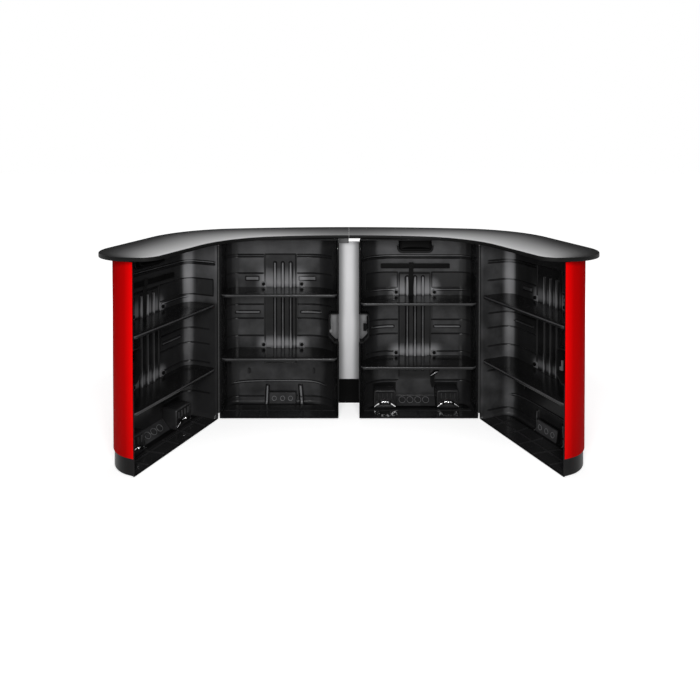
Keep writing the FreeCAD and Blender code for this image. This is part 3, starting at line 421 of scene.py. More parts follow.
def on_wall(grid, s, z, d):
    """A form in (a, b, c) set on an upright wall: a to the right, b up, c out of the wall towards the rim."""
    return joined(s + grid[..., 0], d - grid[..., 2], z + grid[..., 1])


def wire_loop(loop, radius, d, count):
    """A closed round wire in (s, d, z): a circle about each point of an outline, square to its run."""
    angle, normals = circle(count), outward(loop)
    s = loop[:, :1] + normals[:, :1] * radius * np.cos(angle)
    z = loop[:, 1:] + normals[:, 1:] * radius * np.cos(angle)
    rings = joined(s, d + radius * np.sin(angle), z)
    return np.concatenate([rings, rings[:1]])


def swept_band(path, across, half_width, half_thick):
    """A band with round edges carried along a path: a superellipse, its width along across."""
    run = np.gradient(path, axis=0)
    run /= np.linalg.norm(run, axis=1)[:, None]
    thick = np.cross(run, np.broadcast_to(np.asarray(across, float), path.shape))
    thick /= np.linalg.norm(thick, axis=1)[:, None]
    wide = np.cross(thick, run)
    angle = circle(20)
    a = np.sign(np.cos(angle)) * np.abs(np.cos(angle)) ** 0.35 * half_width
    b = np.sign(np.sin(angle)) * np.abs(np.sin(angle)) ** 0.7 * half_thick
    return tube(path[:, None] + wide[:, None] * a[:, None] + thick[:, None] * b[:, None])


def edge_of(rows, cols):
    """Row and column numbers of the points once round the edge of a grid."""
    up, across = np.arange(rows), np.arange(cols)
    row = np.concatenate([np.zeros(cols - 1, int), up[:-1], np.full(cols - 1, rows - 1), up[:0:-1]])
    col = np.concatenate([across[:-1], np.full(rows - 1, cols - 1), across[:0:-1], np.zeros(rows - 1, int)])
    return row, col


def slab(grid, steps):
    """A flat grid as both faces of a slab, its edge carried through (inset, height) steps between them."""
    row, col = edge_of(*grid.shape[:2])
    rings = carried(grid[row, col], steps)
    faces = []
    for ring in (rings[0], rings[-1]):
        face = np.insert(grid, 2, np.median(ring[:, 2]), axis=-1)
        face[row, col] = ring
        faces.append((face, False))
    return [faces[0], (rings, True), faces[1]]


def run_length(path):
    """How far along a path each of its points lies."""
    return np.concatenate([[0], np.cumsum(np.linalg.norm(np.diff(path, axis=0), axis=1))])


# Pieces
def make_piece(name, body, slot, patches, closed=True, flip=False, sharp=35, fade=None, look=None,
               replaces=None):
    """One piece of several grids of points, each with its four-sided faces; equal points are joined into one.

    fade, one number for each point or one for all, goes to the material as an attribute. look names another
    finish than the slot's own. replaces names the CAD node that the piece stands for.
    """
    points, faces, start = [], [], 0
    for grid, wraps in patches:
        rows, cols = grid.shape[:2]
        row = np.arange(rows - 1)[:, None]
        col = np.arange(cols if wraps else cols - 1)[None, :]
        after = (col + 1) % cols
        this_row, next_row = row * cols, (row + 1) * cols
        quads = joined(this_row + col, this_row + after, next_row + after, next_row + col)
        faces.append(quads.reshape(-1, 4) + start)
        points.append(grid.reshape(-1, 3))
        start += rows * cols
    faces = np.concatenate(faces)
    mesh = bpy.data.meshes.new(name)
    mesh.from_pydata(np.concatenate(points), [], faces[:, ::-1] if flip else faces)
    if fade is not None:
        layer = mesh.attributes.new("fade", "FLOAT", "POINT")
        layer.data.foreach_set("value", np.broadcast_to(fade, start).astype(np.float32))
    shape = bmesh.new()
    shape.from_mesh(mesh)
    bmesh.ops.remove_doubles(shape, verts=shape.verts, dist=1e-6)
    bmesh.ops.dissolve_degenerate(shape, edges=shape.edges, dist=1e-7)
    if closed:
        bmesh.ops.recalc_face_normals(shape, faces=shape.faces)
    shape.to_mesh(mesh)
    shape.free()
    mesh.polygons.foreach_set("use_smooth", np.ones(len(mesh.polygons), bool))
    mesh.set_sharp_from_angle(angle=math.radians(sharp))
    mesh.materials.append(MATERIALS[look or slot])
    piece = bpy.data.objects.new(name, mesh)
    bpy.context.scene.collection.objects.link(piece)
    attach(piece, body)
    if replaces:
        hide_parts(replaces)


def fit(seat, name, slot, grids, wraps=True, **looks):
    """A piece on a half-shell, from grids of shell points."""
    patches = [(seat.to_row(grid), wraps) for grid in grids]
    make_piece("%s_%s" % (seat.name, name), seat.body, slot, patches, **looks)


def fit_moulding(seat, name, grids, fade):
    """Closed relief on the inside of a shell, in the toned finish of its walls."""
    fit(seat, name, "shell_black", grids, fade=fade, look="shell_inside")


def fit_skin(seat, name, s, d, z, fade, sharp=35):
    """An open skin just off the inside of a shell's wall."""
    grid = joined(s, d, z)
    fit(seat, name, "shell_black", [grid], wraps=False, closed=False, flip=seat.kind == WHEEL, sharp=sharp,
        fade=np.ravel(fade), look="shell_inside")


# The moulded inside of a shell
LINER_CORNER = 68
HINGE_BEND, FREE_BEND = LINER_CORNER - WALL, FREE_CORNER - WALL
RUN_START = LINER_CORNER - HINGE_BEND * math.pi / 2 - (SHELL_DEPTH - LINER_CORNER)
RUN_END = CURVE_START + FREE_BEND * math.pi / 2 + FREE_STRAIGHT
BASE = 4
FIELD_DEPTH, LINE_DEPTH, BEAD_RISE, BEAD_HALF = 3.2, 3.4, 4.5, 9
RIB_PITCH, RIB_HALF = 43, 10.5
TAB_HEIGHT, TAB_SPREAD = 30, 105
LEVELS = ("upper", "lower")
SHELF_TOPS = {
    kind: [box_mm("%s_%s_shelf" % (shell, level))[1][2] - FOOT - TAB_HEIGHT for level in LEVELS]
    for kind, shell in ((LID, "left_inner"), (WHEEL, "right_inner"))
}


def wall_at(run, stand):
    """Inner wall in plan: run counts along the wall and equals s on the flat back; stand is off the wall."""
    hinge_turn = np.clip((LINER_CORNER - run) / HINGE_BEND, 0, math.pi / 2)
    free_turn = np.clip((run - CURVE_START) / FREE_BEND, 0, math.pi / 2)
    hinge_side = np.maximum(0, LINER_CORNER - HINGE_BEND * math.pi / 2 - run)
    free_side = np.maximum(0, run - CURVE_START - FREE_BEND * math.pi / 2)
    hinge_radius, free_radius = HINGE_BEND - stand, FREE_BEND - stand
    flat = np.clip(run, LINER_CORNER, CURVE_START)
    s = flat - hinge_radius * np.sin(hinge_turn) + free_radius * np.sin(free_turn)
    bend = hinge_radius * (1 - np.cos(hinge_turn)) + free_radius * (1 - np.cos(free_turn))
    return s, INNER_BACK - stand - bend - hinge_side - free_side


def rib_relief(u, z, bottom, top):
    """Three upright half-round ribs with round ends."""
    middles = MIDDLE + RIB_PITCH * np.array([-1, 0, 1])
    return RIB_HALF * np.max([bead(u, z, ((s, bottom), (s, top)), RIB_HALF) for s in middles], axis=0)


def side_lines(u, z, heights, field):
    """Fine moulded lines across the two fields beside the ribs, fainter in the corners of the shell."""
    left, right, soft = field[0] - 8, field[1] + 8, 8
    reach = 0
    for depth, start, end in ((0.4, -120, 600), (0.6, 62, 525)):
        reach = reach + depth * (band(u, start, left, soft) + band(u, right, end, soft))
    return reach * np.max([groove(z, height, 4.5) for height in heights], axis=0)


def lid_relief(u, z):
    """How far a lid's back wall stands off the plain wall: the field of the ribs is sunk, lines and slots are
    cut, and pads, beads, a bowed bead and two leaning posts stand out."""
    field, field_low, field_high, soft = (211, 382), 226, 826, 10
    line_heights = (824, 812, 721, 549, 472, 376, 248, 40)
    pads, pad_low, pad_high, pad_soft = ((106, 178), (400, 494)), 682, 704, 7
    beads, bead_height = ((53, 178), (415, 520)), 507
    bow_start, bow_end, bow_middle, bow_half, bow_top, bow_drop = 33, 560, 290, 256, 126, 13
    posts, post_low, post_high = ((218, 234, -3), (398, 416, 5)), -20, 104
    slots, slot_low, slot_high = (122, 481), 172, 190
    stand = BASE - FIELD_DEPTH * band(u, *field, soft) * band(z, field_low, field_high, soft)
    stand -= LINE_DEPTH * side_lines(u, z, line_heights, field)
    for low, high in pads:
        stand += 3.4 * band(u, low, high, pad_soft) * band(z, pad_low, pad_high, pad_soft)
    for low, high in beads:
        stand += BEAD_RISE * bead(u, z, ((low, bead_height), (high, bead_height)), BEAD_HALF)
    bow = bow_top - bow_drop * np.abs((u - bow_middle) / bow_half) ** 4
    stand += 5 * half_round(z - bow, 6.5) * band(u, bow_start, bow_end, 12)
    for low, high, lean in posts:
        shift = lean * (100 - z) / 60
        stand += 9 * band(u - shift, low, high, 8) * band(z, post_low, post_high, soft)
    for middle in slots:
        stand -= 1.6 * bead(u, z, ((middle, slot_low), (middle, slot_high)), 6)
    return np.maximum(stand, rib_relief(u, z, 245, 776))


def wheel_relief(u, z):
    """How far a wheel shell's back wall stands off the plain wall: the field of the ribs and two panels are
    sunk, lines are cut, and beads stand out."""
    field, field_low, field_high, soft = (227, 398), 150, 722, 8
    line_heights, full_line, full_bead, side_bead = (465, 387, 289, 250, 129), 806, 818, 631
    panel_low, panel_high, panel_gap, side_gap = 642, 727, 9, 20
    beads, bead_height = ((66, 200), (432, 550)), 427
    stand = BASE - FIELD_DEPTH * band(u, *field, 10) * band(z, field_low, field_high, 18)
    stand -= LINE_DEPTH * side_lines(u, z, line_heights, field)
    panels = band(u, -140, field[0] - panel_gap, soft) + band(u, field[1] + panel_gap, 600, soft)
    stand -= 3 * panels * band(z, panel_low, panel_high, soft)
    sides = band(u, 20, field[0] - side_gap, soft) + band(u, field[1] + side_gap, 575, soft)
    stand += 4 * sides * half_round(z - side_bead, 6)
    full = band(u, -150, 660, 10)
    stand += 3.6 * full * half_round(z - full_bead, 5)
    stand -= LINE_DEPTH * full * groove(z, full_line, 6)
    for low, high in beads:
        stand += BEAD_RISE * bead(u, z, ((low, bead_height), (high, bead_height)), BEAD_HALF)
    return np.maximum(stand, rib_relief(u, z, 190, 698))


RELIEF = {LID: lid_relief, WHEEL: wheel_relief}
# Stretches with closer grid lines, as (start, end, step), where the relief has its edges.
RUN_DENSE = (
    (-156, -132, 2), (44, 74, 2), (100, 128, 2), (172, 240, 2), (255, 365, 1.5),
    (372, 438, 2), (474, 500, 2), (510, 570, 3), (590, 666, 3),
)
HEIGHT_DENSE = {
    LID: (
        (4, 20, 2), (34, 46, 1.2), (92, 136, 1.5), (162, 200, 2.5), (218, 255, 1.5),
        (370, 382, 1.2), (466, 478, 1.2), (496, 518, 1.4), (543, 555, 1.2), (676, 710, 1.5),
        (715, 727, 1.2), (768, 790, 1.5), (806, 833, 1.2), (914, 931, 2),
    ),
    WHEEL: (
        (123, 135, 1.2), (144, 156, 1.5), (178, 194, 1.5), (244, 256, 1.2), (283, 295, 1.2),
        (381, 393, 1.2), (416, 438, 1.4), (459, 471, 1.2), (623, 648, 1.3), (694, 733, 1.4),
        (800, 825, 1.2), (914, 931, 2),
    ),
}
# Stretches of the wall that a liner covers, as (name, start, end, low, high): a wheel shell's leaves out the
# housings and the sloping wall between them.
LINER_START, LINER_END, LINER_TOP, HOUSING_TOP = RUN_START + 1, RUN_END - 1, SHELL_HEIGHT - WALL, 118
LINER_PARTS = {
    LID: (("liner", LINER_START, LINER_END, WALL, LINER_TOP),),
    WHEEL: (
        ("liner", LINER_START, LINER_END, HOUSING_TOP, LINER_TOP),
        ("hinge_side_foot", LINER_START, 76, WALL, HOUSING_TOP),
        ("middle_foot", 204, 416, 52, HOUSING_TOP),
        ("free_side_foot", 550, LINER_END, WALL, HOUSING_TOP),
    ),
}


def liner_painted_light(seat, u, z, stand):
    """Tone by the relief, as painted light: painted shade in lines and on steep sides, painted highlights on
    raised parts, by tabs and in coves.
    """
    upper, lower = SHELF_TOPS[seat.kind]
    rise, run = np.gradient(stand, z[:, 0], u[0])
    steep = np.clip(np.hypot(rise, run) / 0.5, 0, 1)
    # Painted highlights on raised parts and above the upper shelf, painted shade on steep sides.
    tone = 0.18 + 0.12 * np.clip(stand / BASE, 0, 1) + 0.4 * np.clip((stand - BASE) / 6, 0, 1)
    tone += 0.1 * smooth_step(upper, SHELL_HEIGHT, z) - 0.45 * steep
    hinge_side, free_side = 1 - smooth_step(30, 80, u), smooth_step(510, 560, u)
    if seat.spin:
        # End shells: a painted highlight in the hinge-side cove, stronger higher up; painted shade on the
        # back wall, and on the wheel shell's hinge side too, with a painted highlight there above the upper
        # shelf.
        on_back, on_hinge_side, lit_top = (-0.15, -0.09, 0.14) if seat.kind == WHEEL else (-0.25, 0, 0)
        on_hinge_side = on_hinge_side + lit_top * smooth_step(upper - 20, upper + 20, z)
        tone += band(u, -15, 38, 30) * (0.12 + 0.4 * smooth_step(100, 850, z))
        tone += on_back * (1 - hinge_side) + on_hinge_side * hinge_side
    else:
        # Inner shells: painted shade in both side corners.
        tone -= 0.22 * np.maximum(hinge_side, free_side)
    # Painted shade on the rib field under the upper shelf.
    tone -= 0.15 * band(u, 215, 392, 16) * band(z, lower + 90, upper, 40)
    # Painted highlight on the wall just above each shelf, by the tabs.
    near_tabs = smooth_step(150, 215, u) * (1 - smooth_step(400, 465, u))
    for top, reach in ((upper, 130), (lower, 80)):
        painted_highlight = smooth_step(-10, 10, z - top) * (1 - smooth_step(20, reach, z - top))
        tone += 0.6 * painted_highlight * near_tabs
    return np.clip(tone, 0, 1)


def make_liner(seat, name, start, end, low, high):
    """The moulded inside of a shell: the plan of the wall by the height, moved off the wall by the relief.

    A cove leads over to the floor and to the roof, and the skin comes down to the wall at the rim."""
    u = lines(start, end, 13, RUN_DENSE)[None, :]
    z = lines(low, high, 17, HEIGHT_DENSE[seat.kind])[:, None]
    stand = RELIEF[seat.kind](u, z)
    fade = liner_painted_light(seat, u, z, stand)
    cove, rim_width, rim_stand = 14, 16, 0.3
    for rise in (z - WALL, LINER_TOP - z):
        short = np.clip(cove - rise, 0, cove)
        stand = stand + cove - np.sqrt(cove * cove - short * short)
    rim = smooth_step(0, rim_width, u - RUN_START) * smooth_step(0, rim_width, RUN_END - u)
    s, d = wall_at(u, rim_stand + (stand - rim_stand) * rim)
    fit_skin(seat, name, s, d, z, fade, sharp=28)


FLOOR_DEPTH = {LID: 158, WHEEL: 112}


def make_floor_pan(seat):
    """The moulded floor of a shell: a flat by inset and depth, raised along five ribs and one cross rib."""
    rise, half, cross_rib, rib_middles = 3.5, 6, 84, (95, 202, MIDDLE, 418, 525)
    front, back, side_gap = 6, FLOOR_DEPTH[seat.kind], 1
    d = np.linspace(front, back, 70)[:, None]
    in_hinge = np.clip(d - SHELL_DEPTH + LINER_CORNER, 0, HINGE_BEND)
    in_free = np.clip(d - FREE_STRAIGHT, 0, FREE_BEND)
    near = LINER_CORNER - np.sqrt(HINGE_BEND ** 2 - in_hinge ** 2)
    far = CURVE_START + np.sqrt(FREE_BEND ** 2 - in_free ** 2)
    share = np.linspace(0, 1, 260)[None, :]
    s = near + side_gap + (far - near - 2 * side_gap) * share
    ribs = rise * groove(d, cross_rib, half)
    for middle in rib_middles:
        fan = 0.12 * (d - 60) * np.sign(middle - MIDDLE)
        ribs = np.maximum(ribs, rise * groove(s - fan, middle, half))
    inside = band(share, 0.01, 0.99, 0.02) * band(d, front + 4, back - 4, 6)
    # The ribs carry a faint painted highlight.
    fit_skin(seat, "floor_pan", s, d, WALL + 0.3 + (0.5 + ribs) * inside, 0.16 + 0.02 * ribs)


RECESS_LOW, RECESS_HIGH, RECESS_FLOOR = 397.5, 544.5, 573


def make_rim(seat):
    """A round bead along the rim and round the latch recess, whose two inner corners are cut off."""
    half, radius, off_rim, low_cut, high_cut = WALL / 2, 2.25, 1.95, 29.2, 7.2
    side, roof = SHELL_WIDTH - half, SHELL_HEIGHT - half
    low, high, floor = RECESS_LOW - half, RECESS_HIGH + half, RECESS_FLOOR - half
    path = rounded_loop([
        (half, half, 1), (side, half, 1), (side, low, 2), (RECESS_FLOOR + low_cut, low, 9),
        (floor, RECESS_LOW + low_cut, 9), (floor, RECESS_HIGH - high_cut, 3),
        (RECESS_FLOOR + high_cut, high, 3), (side, high, 2), (side, roof, 1), (half, roof, 1),
    ], arc_steps=5)
    fit(seat, "rim_bead", "shell_black", [wire_loop(path, radius, off_rim, 14)], sharp=60)


def make_recess_plate(seat):
    """A smooth plate on the back of the latch recess; its lighter grey is painted light falling on the
    recess's back wall.
    """
    inset, side, low_cut, high_cut, back, thick = 4, SHELL_WIDTH - 3, 28, 7, 51.9, 2
    low, high, floor = RECESS_LOW + inset, RECESS_HIGH - inset, RECESS_FLOOR + inset
    outline = [(side, low, 2), (side, high, 2), (floor + high_cut, high, 4), (floor, high - high_cut, 4),
               (floor, low + low_cut, 8), (floor + low_cut, low, 8)]
    fit(seat, "recess_plate", "keeper_steel", [on_wall(plate(outline, thick, 1.5), 0, 0, back)])


# Shelves and what fastens them
def shelf_grid():
    """Plan of a shelf as columns from the front edge to the back edge, with a notch round the ribs."""
    edge, front, corner = WALL + 1, 6, 28
    notch_half, notch_slope, notch_depth = 66.5, 3, 14
    left, right = edge, SHELL_WIDTH - edge
    hinge_bend, free_bend = HINGE_CORNER - edge, FREE_CORNER - edge
    turn = np.radians(np.linspace(0, 90, 13))
    notch = MIDDLE + np.array([-notch_half, notch_slope - notch_half, notch_half - notch_slope, notch_half])
    s = np.unique(np.round(np.concatenate([
        left + corner * (1 - np.cos(turn)), right - corner * (1 - np.cos(turn)),
        HINGE_CORNER - hinge_bend * np.sin(turn), CURVE_START + free_bend * np.sin(turn), notch,
    ]), 4))
    in_near, in_far = np.clip(left + corner - s, 0, corner), np.clip(s - right + corner, 0, corner)
    low = front + corner - np.sqrt(corner ** 2 - np.maximum(in_near, in_far) ** 2)
    in_hinge, in_free = np.clip(HINGE_CORNER - s, 0, hinge_bend), np.clip(s - CURVE_START, 0, free_bend)
    high = (SHELL_DEPTH - edge - hinge_bend + np.sqrt(hinge_bend ** 2 - in_hinge ** 2)
            - free_bend + np.sqrt(free_bend ** 2 - in_free ** 2))
    into, out_of = (np.clip((s - start) / notch_slope, 0, 1) for start in (notch[0], notch[2]))
    high = high - notch_depth * (into - out_of)
    d = low[:, None] + (high - low)[:, None] * np.linspace(0, 1, 6)
    return joined(s[:, None], d)


def make_shelf(seat, level, top):
    """A shelf: a flat plate with a rolled edge and a lip at the front, and two upright tabs at the back."""
    thick, lip_drop, roll = 6, 8, 3.6
    # The faces are plain; the tabs carry a painted highlight.
    face_tone, tab_painted_highlight = 0.1, 0.8
    grid = shelf_grid()
    row, col = edge_of(*grid.shape[:2])
    front = 1 - smooth_step(26, 52, grid[row, col, 1])
    lip = -thick - lip_drop * front
    steps = [(5, -thick), (4.6, lip + 1.2), (3.4, lip), (1.4, lip), (0.4, lip + 0.8), (0, lip + 2.2)]
    angle = np.linspace(0, math.pi / 2, 6)
    steps += [*zip(roll * (1 - np.cos(angle)), -roll + roll * np.sin(angle))]
    # Painted highlight on the rolled top of the front edge, painted shade on the lip below it.
    rolled = [[inset < 2 and np.mean(height) > -roll - 0.1] for inset, height in steps]
    edge_painted_light = 0.05 + 0.4 * np.array(rolled, float) * front
    face = np.full(grid[..., 0].size, face_tone)
    patches = [(patch + (0, 0, top), wraps) for patch, wraps in slab(grid, steps)]
    fade = [face, edge_painted_light.ravel(), face]
    tab = plate(upright(15, -thick, TAB_HEIGHT, 2, 9), 4, 1.2)
    for offset in (-TAB_SPREAD, TAB_SPREAD):
        patches.append((on_wall(tab, MIDDLE + offset, top, INNER_BACK - 3.2), True))
        fade.append(np.full(tab[..., 0].size, tab_painted_highlight))
    name = "%s_%s_shelf" % (seat.name, level)
    patches = [(seat.to_row(patch), wraps) for patch, wraps in patches]
    make_piece(name + "_moulding", seat.body, "shelf_black", patches, fade=np.concatenate(fade),
               replaces=name)


def make_knobs(seat):
    """Lobed clamp knobs with a domed head, two over each shelf."""
    profile = [(0, 0), (6.2, 0), (6.6, 1), (6.6, 2), (8.6, 2.6), (9.2, 3.6), (9.2, 7), (8.4, 8.6),
               (6, 9.6), (3, 10), (0, 10.1)]
    knob = turned(profile, lobes=5, lobe_depth=0.09, count=40)
    grids = [on_wall(knob, MIDDLE + offset, top + 17, INNER_BACK - 7.2)
             for top in SHELF_TOPS[seat.kind] for offset in (-TAB_SPREAD, TAB_SPREAD)]
    fit(seat, "clamp_knobs", "fitting_black", grids, replaces=seat.name + "_shelf_knobs")


# Fittings of the shells
def make_block_holes(seat):
    """The sloping front of the block at the foot of a lid: a face plate, and three eyelets on it."""
    foot, lean = 2, 10 / 68

    def on_block(form, s, z):
        grid = on_wall(form, s, z, INNER_BACK - 30)
        grid[..., 1] += lean * (grid[..., 2] - foot)
        return grid

    eyelet = turned([(0, -1), (7.5, -1), (9, 0.6), (10.5, 2), (12.5, 2.2), (14, 1.2), (14.4, -1.5),
                     (0, -1.5)])
    face = plate(upright(72, 7, 64, 4, 8), 1.6, 1.4)
    fit_moulding(seat, "block_face", [on_block(face, MIDDLE, foot)], 0.3)
    eyelets = [on_block(eyelet, MIDDLE + offset, 36) for offset in (-46, 0, 43)]
    fit_moulding(seat, "block_eyelets", eyelets, 0.6)


def make_screws(seat):
    """Small bright screws near the rim, at the top of both side walls."""
    off_rim, height, off_wall = 11, 886, 0.2
    screw = turned([(0, 0), (3.4, 0), (3.4, 0.8), (2.6, 1.7), (1.2, 2.1), (0, 2.2)], count=20)
    a, b, c = np.moveaxis(screw, -1, 0)
    walls = ((WALL + off_wall, 1), (SHELL_WIDTH - WALL - off_wall, -1))
    grids = [joined(inset + way * c, off_rim + a, height + b) for inset, way in walls]
    fit(seat, "corner_screws", "bright_nuts", grids)


GRIP_MIDDLE = SHELL_HEIGHT - 54


def make_grip(seat):
    """The inside bulge of the hand grip: a wedge with a rounded lower lip that stands further out."""
    half, low, high, low_stand, high_stand = 89, -33, 31, 43, 25
    loop = rounded_loop(upright(half, low, high, 20, 12), 8)
    front = low_stand - (low_stand - high_stand) * (loop[:, 1] - low) / (high - low)
    steps = [(-6, 0), (-5.5, 2.4), (-2, 3), (0, 5), (0.4, front - 7), (1.6, front - 3), (4.5, front - 0.6),
             (8, front), (12, front - 0.4), (14, front - 3), (15, front - 5)]
    bulge = on_wall(tube(carried(loop, steps)), MIDDLE, GRIP_MIDDLE, INNER_BACK - 1)
    fit(seat, "grip_bulge", "fitting_black", [bulge])


def make_grip_lip(seat):
    """A rounded lip under the hand grip: a band carried along the lower edge and up both corners."""
    straight, corner_radius, corner_height, end_height, off_wall = 72, 22, -18, -6, 10
    turn = np.radians(np.linspace(0, 90, 10))
    corner = joined(straight + corner_radius * np.sin(turn), corner_height - corner_radius * np.cos(turn))
    right = np.concatenate([corner, [[straight + corner_radius, end_height]]])
    a, b = np.concatenate([right[::-1] * [-1, 1], right]).T
    path = joined(MIDDLE + a, INNER_BACK - off_wall, GRIP_MIDDLE + b)
    fit(seat, "grip_lip", "shell_black", [swept_band(path, (0, 1, 0), 8, 6)], sharp=60)


bar_low, bar_high = box_mm("right_inner_strap_bar")
BAR_MIDDLE, BAR_HALF = (bar_low[2] + bar_high[2]) / 2 - FOOT, (bar_high[2] - bar_low[2]) / 2
BAR_THICK, BAR_FRONT = 4, INNER_BACK - 15
BAR_BACK = BAR_FRONT + BAR_THICK
WEBBING_HALF = 0.95


def make_strap_bar(seat):
    """A flat bar with round ends, on two feet."""
    bar = plate(upright((bar_high[0] - bar_low[0]) / 2, -BAR_HALF, BAR_HALF, 6), BAR_THICK, 1.4)
    foot = plate(upright(10, -12.5, 12.5, 3), 12, 0.6)
    grids = [on_wall(bar, MIDDLE, BAR_MIDDLE, BAR_BACK)]
    grids += [on_wall(foot, s, BAR_MIDDLE, INNER_BACK - 0.2) for s in (180, CURVE_START - 15)]
    fit(seat, "strap_bar_moulding", "fitting_black", grids, replaces=seat.name + "_strap_bar")


def make_strap(seat):
    """Webbing: a loop round the bar that hangs behind the upper shelf, and a bowed tail in the buckle."""
    off_bar, hang_end, tail_top, tail_end = 1.3, 560, 196, 92
    loop_middle, tail_middle, loop_half, tail_half = MIDDLE + 21.5, MIDDLE - TAB_SPREAD, 12.5, 12
    front, back = BAR_FRONT - off_bar, BAR_BACK + off_bar
    over, under = BAR_MIDDLE + BAR_HALF + off_bar, BAR_MIDDLE - BAR_HALF - off_bar
    mid, reach = (front + back) / 2, (back - front) / 2
    turn = np.radians(np.linspace(-90, 90, 13))
    t = np.linspace(0, 1, 60)
    below = joined(mid - reach * np.sin(turn), under - reach * np.cos(turn))[6:-1]
    up = joined(front, np.linspace(under, over, 13))
    above = joined(mid + reach * np.sin(turn), over + reach * np.cos(turn))[1:]
    hang = joined(back + 0.4 * np.sin(9 * t), over + (hang_end - over) * t)[1:]
    d, z = np.concatenate([below, up, above, hang]).T
    sway = 2.5 * np.sin((over - z) / 95) * smooth_step(0, 80, over - z)
    loop = joined(loop_middle + sway, d, z)
    z = np.linspace(tail_top, tail_end, 50)
    bow = 9 * np.sin((z - tail_end) / 80 * math.pi) - 18 * smooth_step(160, 204, z)
    tail = joined(tail_middle + bow, INNER_BACK - 4.6, z)
    bands = ((loop, loop_half), (tail, tail_half))
    grids = [swept_band(path, (1, 0, 0), half, WEBBING_HALF) for path, half in bands]
    fit(seat, "strap_webbing", "strap_webbing", grids, sharp=60, replaces=seat.name + "_strap")


def make_buckle(seat):
    """A cam buckle: a frame of round wire about the tail, and a bright lever bar on it, both aslant."""
    middle, lean, lever_lean = MIDDLE - TAB_SPREAD, 0.6, 0.18
    low, high = (corner[2] - FOOT for corner in box_mm("right_inner_strap_buckle"))
    wire = wire_loop(rounded_loop(upright(18, low, high, 4)), 2, INNER_BACK - 7.6, 12)
    wire[..., 0] += middle
    lever = plate(upright(19, -2.5, 2.5, 2), 2.4, 1)
    lever = on_wall(lever, middle, (low + high) / 2, INNER_BACK - 8.4)
    lever[..., 1] -= lever_lean * (lever[..., 2] - low)
    for grid in (wire, lever):
        grid[..., 2] -= lean * (grid[..., 0] - middle)
    fit(seat, "cam_buckle", "buckle_metal", [wire], look="fitting_black",
        replaces=seat.name + "_strap_buckle")
    fit(seat, "buckle_lever", "buckle_metal", [lever])


def make_housing_fronts(seat):
    """Covers on the wheel housings with raised edges and ribs, and a bright rod in two clips over each."""
    cover_wall, rib_wall, rod_wall = 122, 115.4, 107
    rod_half, rod_foot, rod_rise, rod_radius = 56, 16, 28, 4
    loop = rounded_loop(upright(60, 5, 104, 3, 14))
    # Painted light by ring: a painted highlight on the outer slope of the raised edge, painted shade on its
    # inner slope.
    ring_painted_light = [0.08, 0.08, 0.2, 0.26, 0.3, 0.26, 0.16, 0, 0.12, 0.12]
    rib = plate(upright(4, 54, 88, 3.9), 6, 2.5, 4)
    nut = turned([(0, 0), (8, 0), (8, 4), (7, 7.4), (5.4, 9.6), (3, 10.8), (0, 11.2)], count=24)
    across = (0, 1, 0)
    t = np.linspace(-1, 1, 41)
    covers, ribs, rods, clips = [], [], [], []
    for wheel, deep in (("hinge", -70), ("free", -42)):
        low, high = box_mm("right_inner_%s_wheel" % wheel)
        middle = HINGE_SIDE - (low[0] + high[0]) / 2
        steps = [(-2, deep), (0, 1), (1, 6), (3, 9.4), (6, 11), (9, 11), (12, 8), (14, 7.4)]
        covers.append(on_wall(tube(carried(loop, steps)), middle, 0, cover_wall))
        ribs += [on_wall(rib, middle + offset, 0, rib_wall) for offset in (-36, -12, 12, 36)]
        path = joined(middle + rod_half * t, rod_wall, rod_foot + rod_rise * (1 - np.abs(t) ** 1.7))
        rods += [swept_band(path, across, rod_radius, rod_radius),
                 on_wall(nut, middle, rod_foot + rod_rise, rod_wall - 3)]
        clips += [swept_band(part, across, 9, 6.5) for part in (path[9:14], path[27:32])]
    fit_moulding(seat, "housing_covers", covers, np.tile(np.repeat(ring_painted_light, len(loop)), len(covers)))
    fit_moulding(seat, "housing_ribs", ribs, 0.3)
    fit(seat, "axle_rods", "bright_nuts", rods, sharp=50)
    fit(seat, "rod_clips", "fitting_black", clips, sharp=50)


def make_bevel_skin(seat):
    """The sloping wall between the housings: a flat by inset and height, with a raised line near its top."""
    start, end, front, foot, run = 203, 417, 147, 4.5, 48.5
    s = np.linspace(start, end, 40)[None, :]
    t = np.linspace(0, 1, 60)[:, None]
    off = 0.7 * (0.6 + 2 * groove(t, 0.88, 0.06))
    fit_skin(seat, "bevel_skin", s, front + run * t - off, foot + run * t + off, 0.3)


def make_scallops(seat):
    """A row of round shallow dishes on the sloping wall between the wheels."""
    dish = turned([(0, -1), (9, -0.6), (12.5, 1.2), (15, 3.4), (18, 3.6), (19.4, 2), (19.6, -1.6),
                   (0, -1.6)])
    # Painted light by ring: painted shade in the dish, a painted highlight on its rim.
    ring_painted_light = np.repeat([0, 0, 0.05, 0.4, 0.6, 0.2, 0, 0], dish.shape[1])
    middle_depth, middle_height, slope = 170, 27.5, math.sqrt(0.5)
    a, up, out = np.moveaxis(dish, -1, 0)
    middles = MIDDLE + 8 + RIB_PITCH * np.array([-1.5, -0.5, 0.5, 1.5])
    d, z = middle_depth + slope * (up - out), middle_height + slope * (up + out)
    grids = [joined(middle + a, d, z) for middle in middles]
    fit_moulding(seat, "bevel_dishes", grids, np.tile(ring_painted_light, len(grids)))


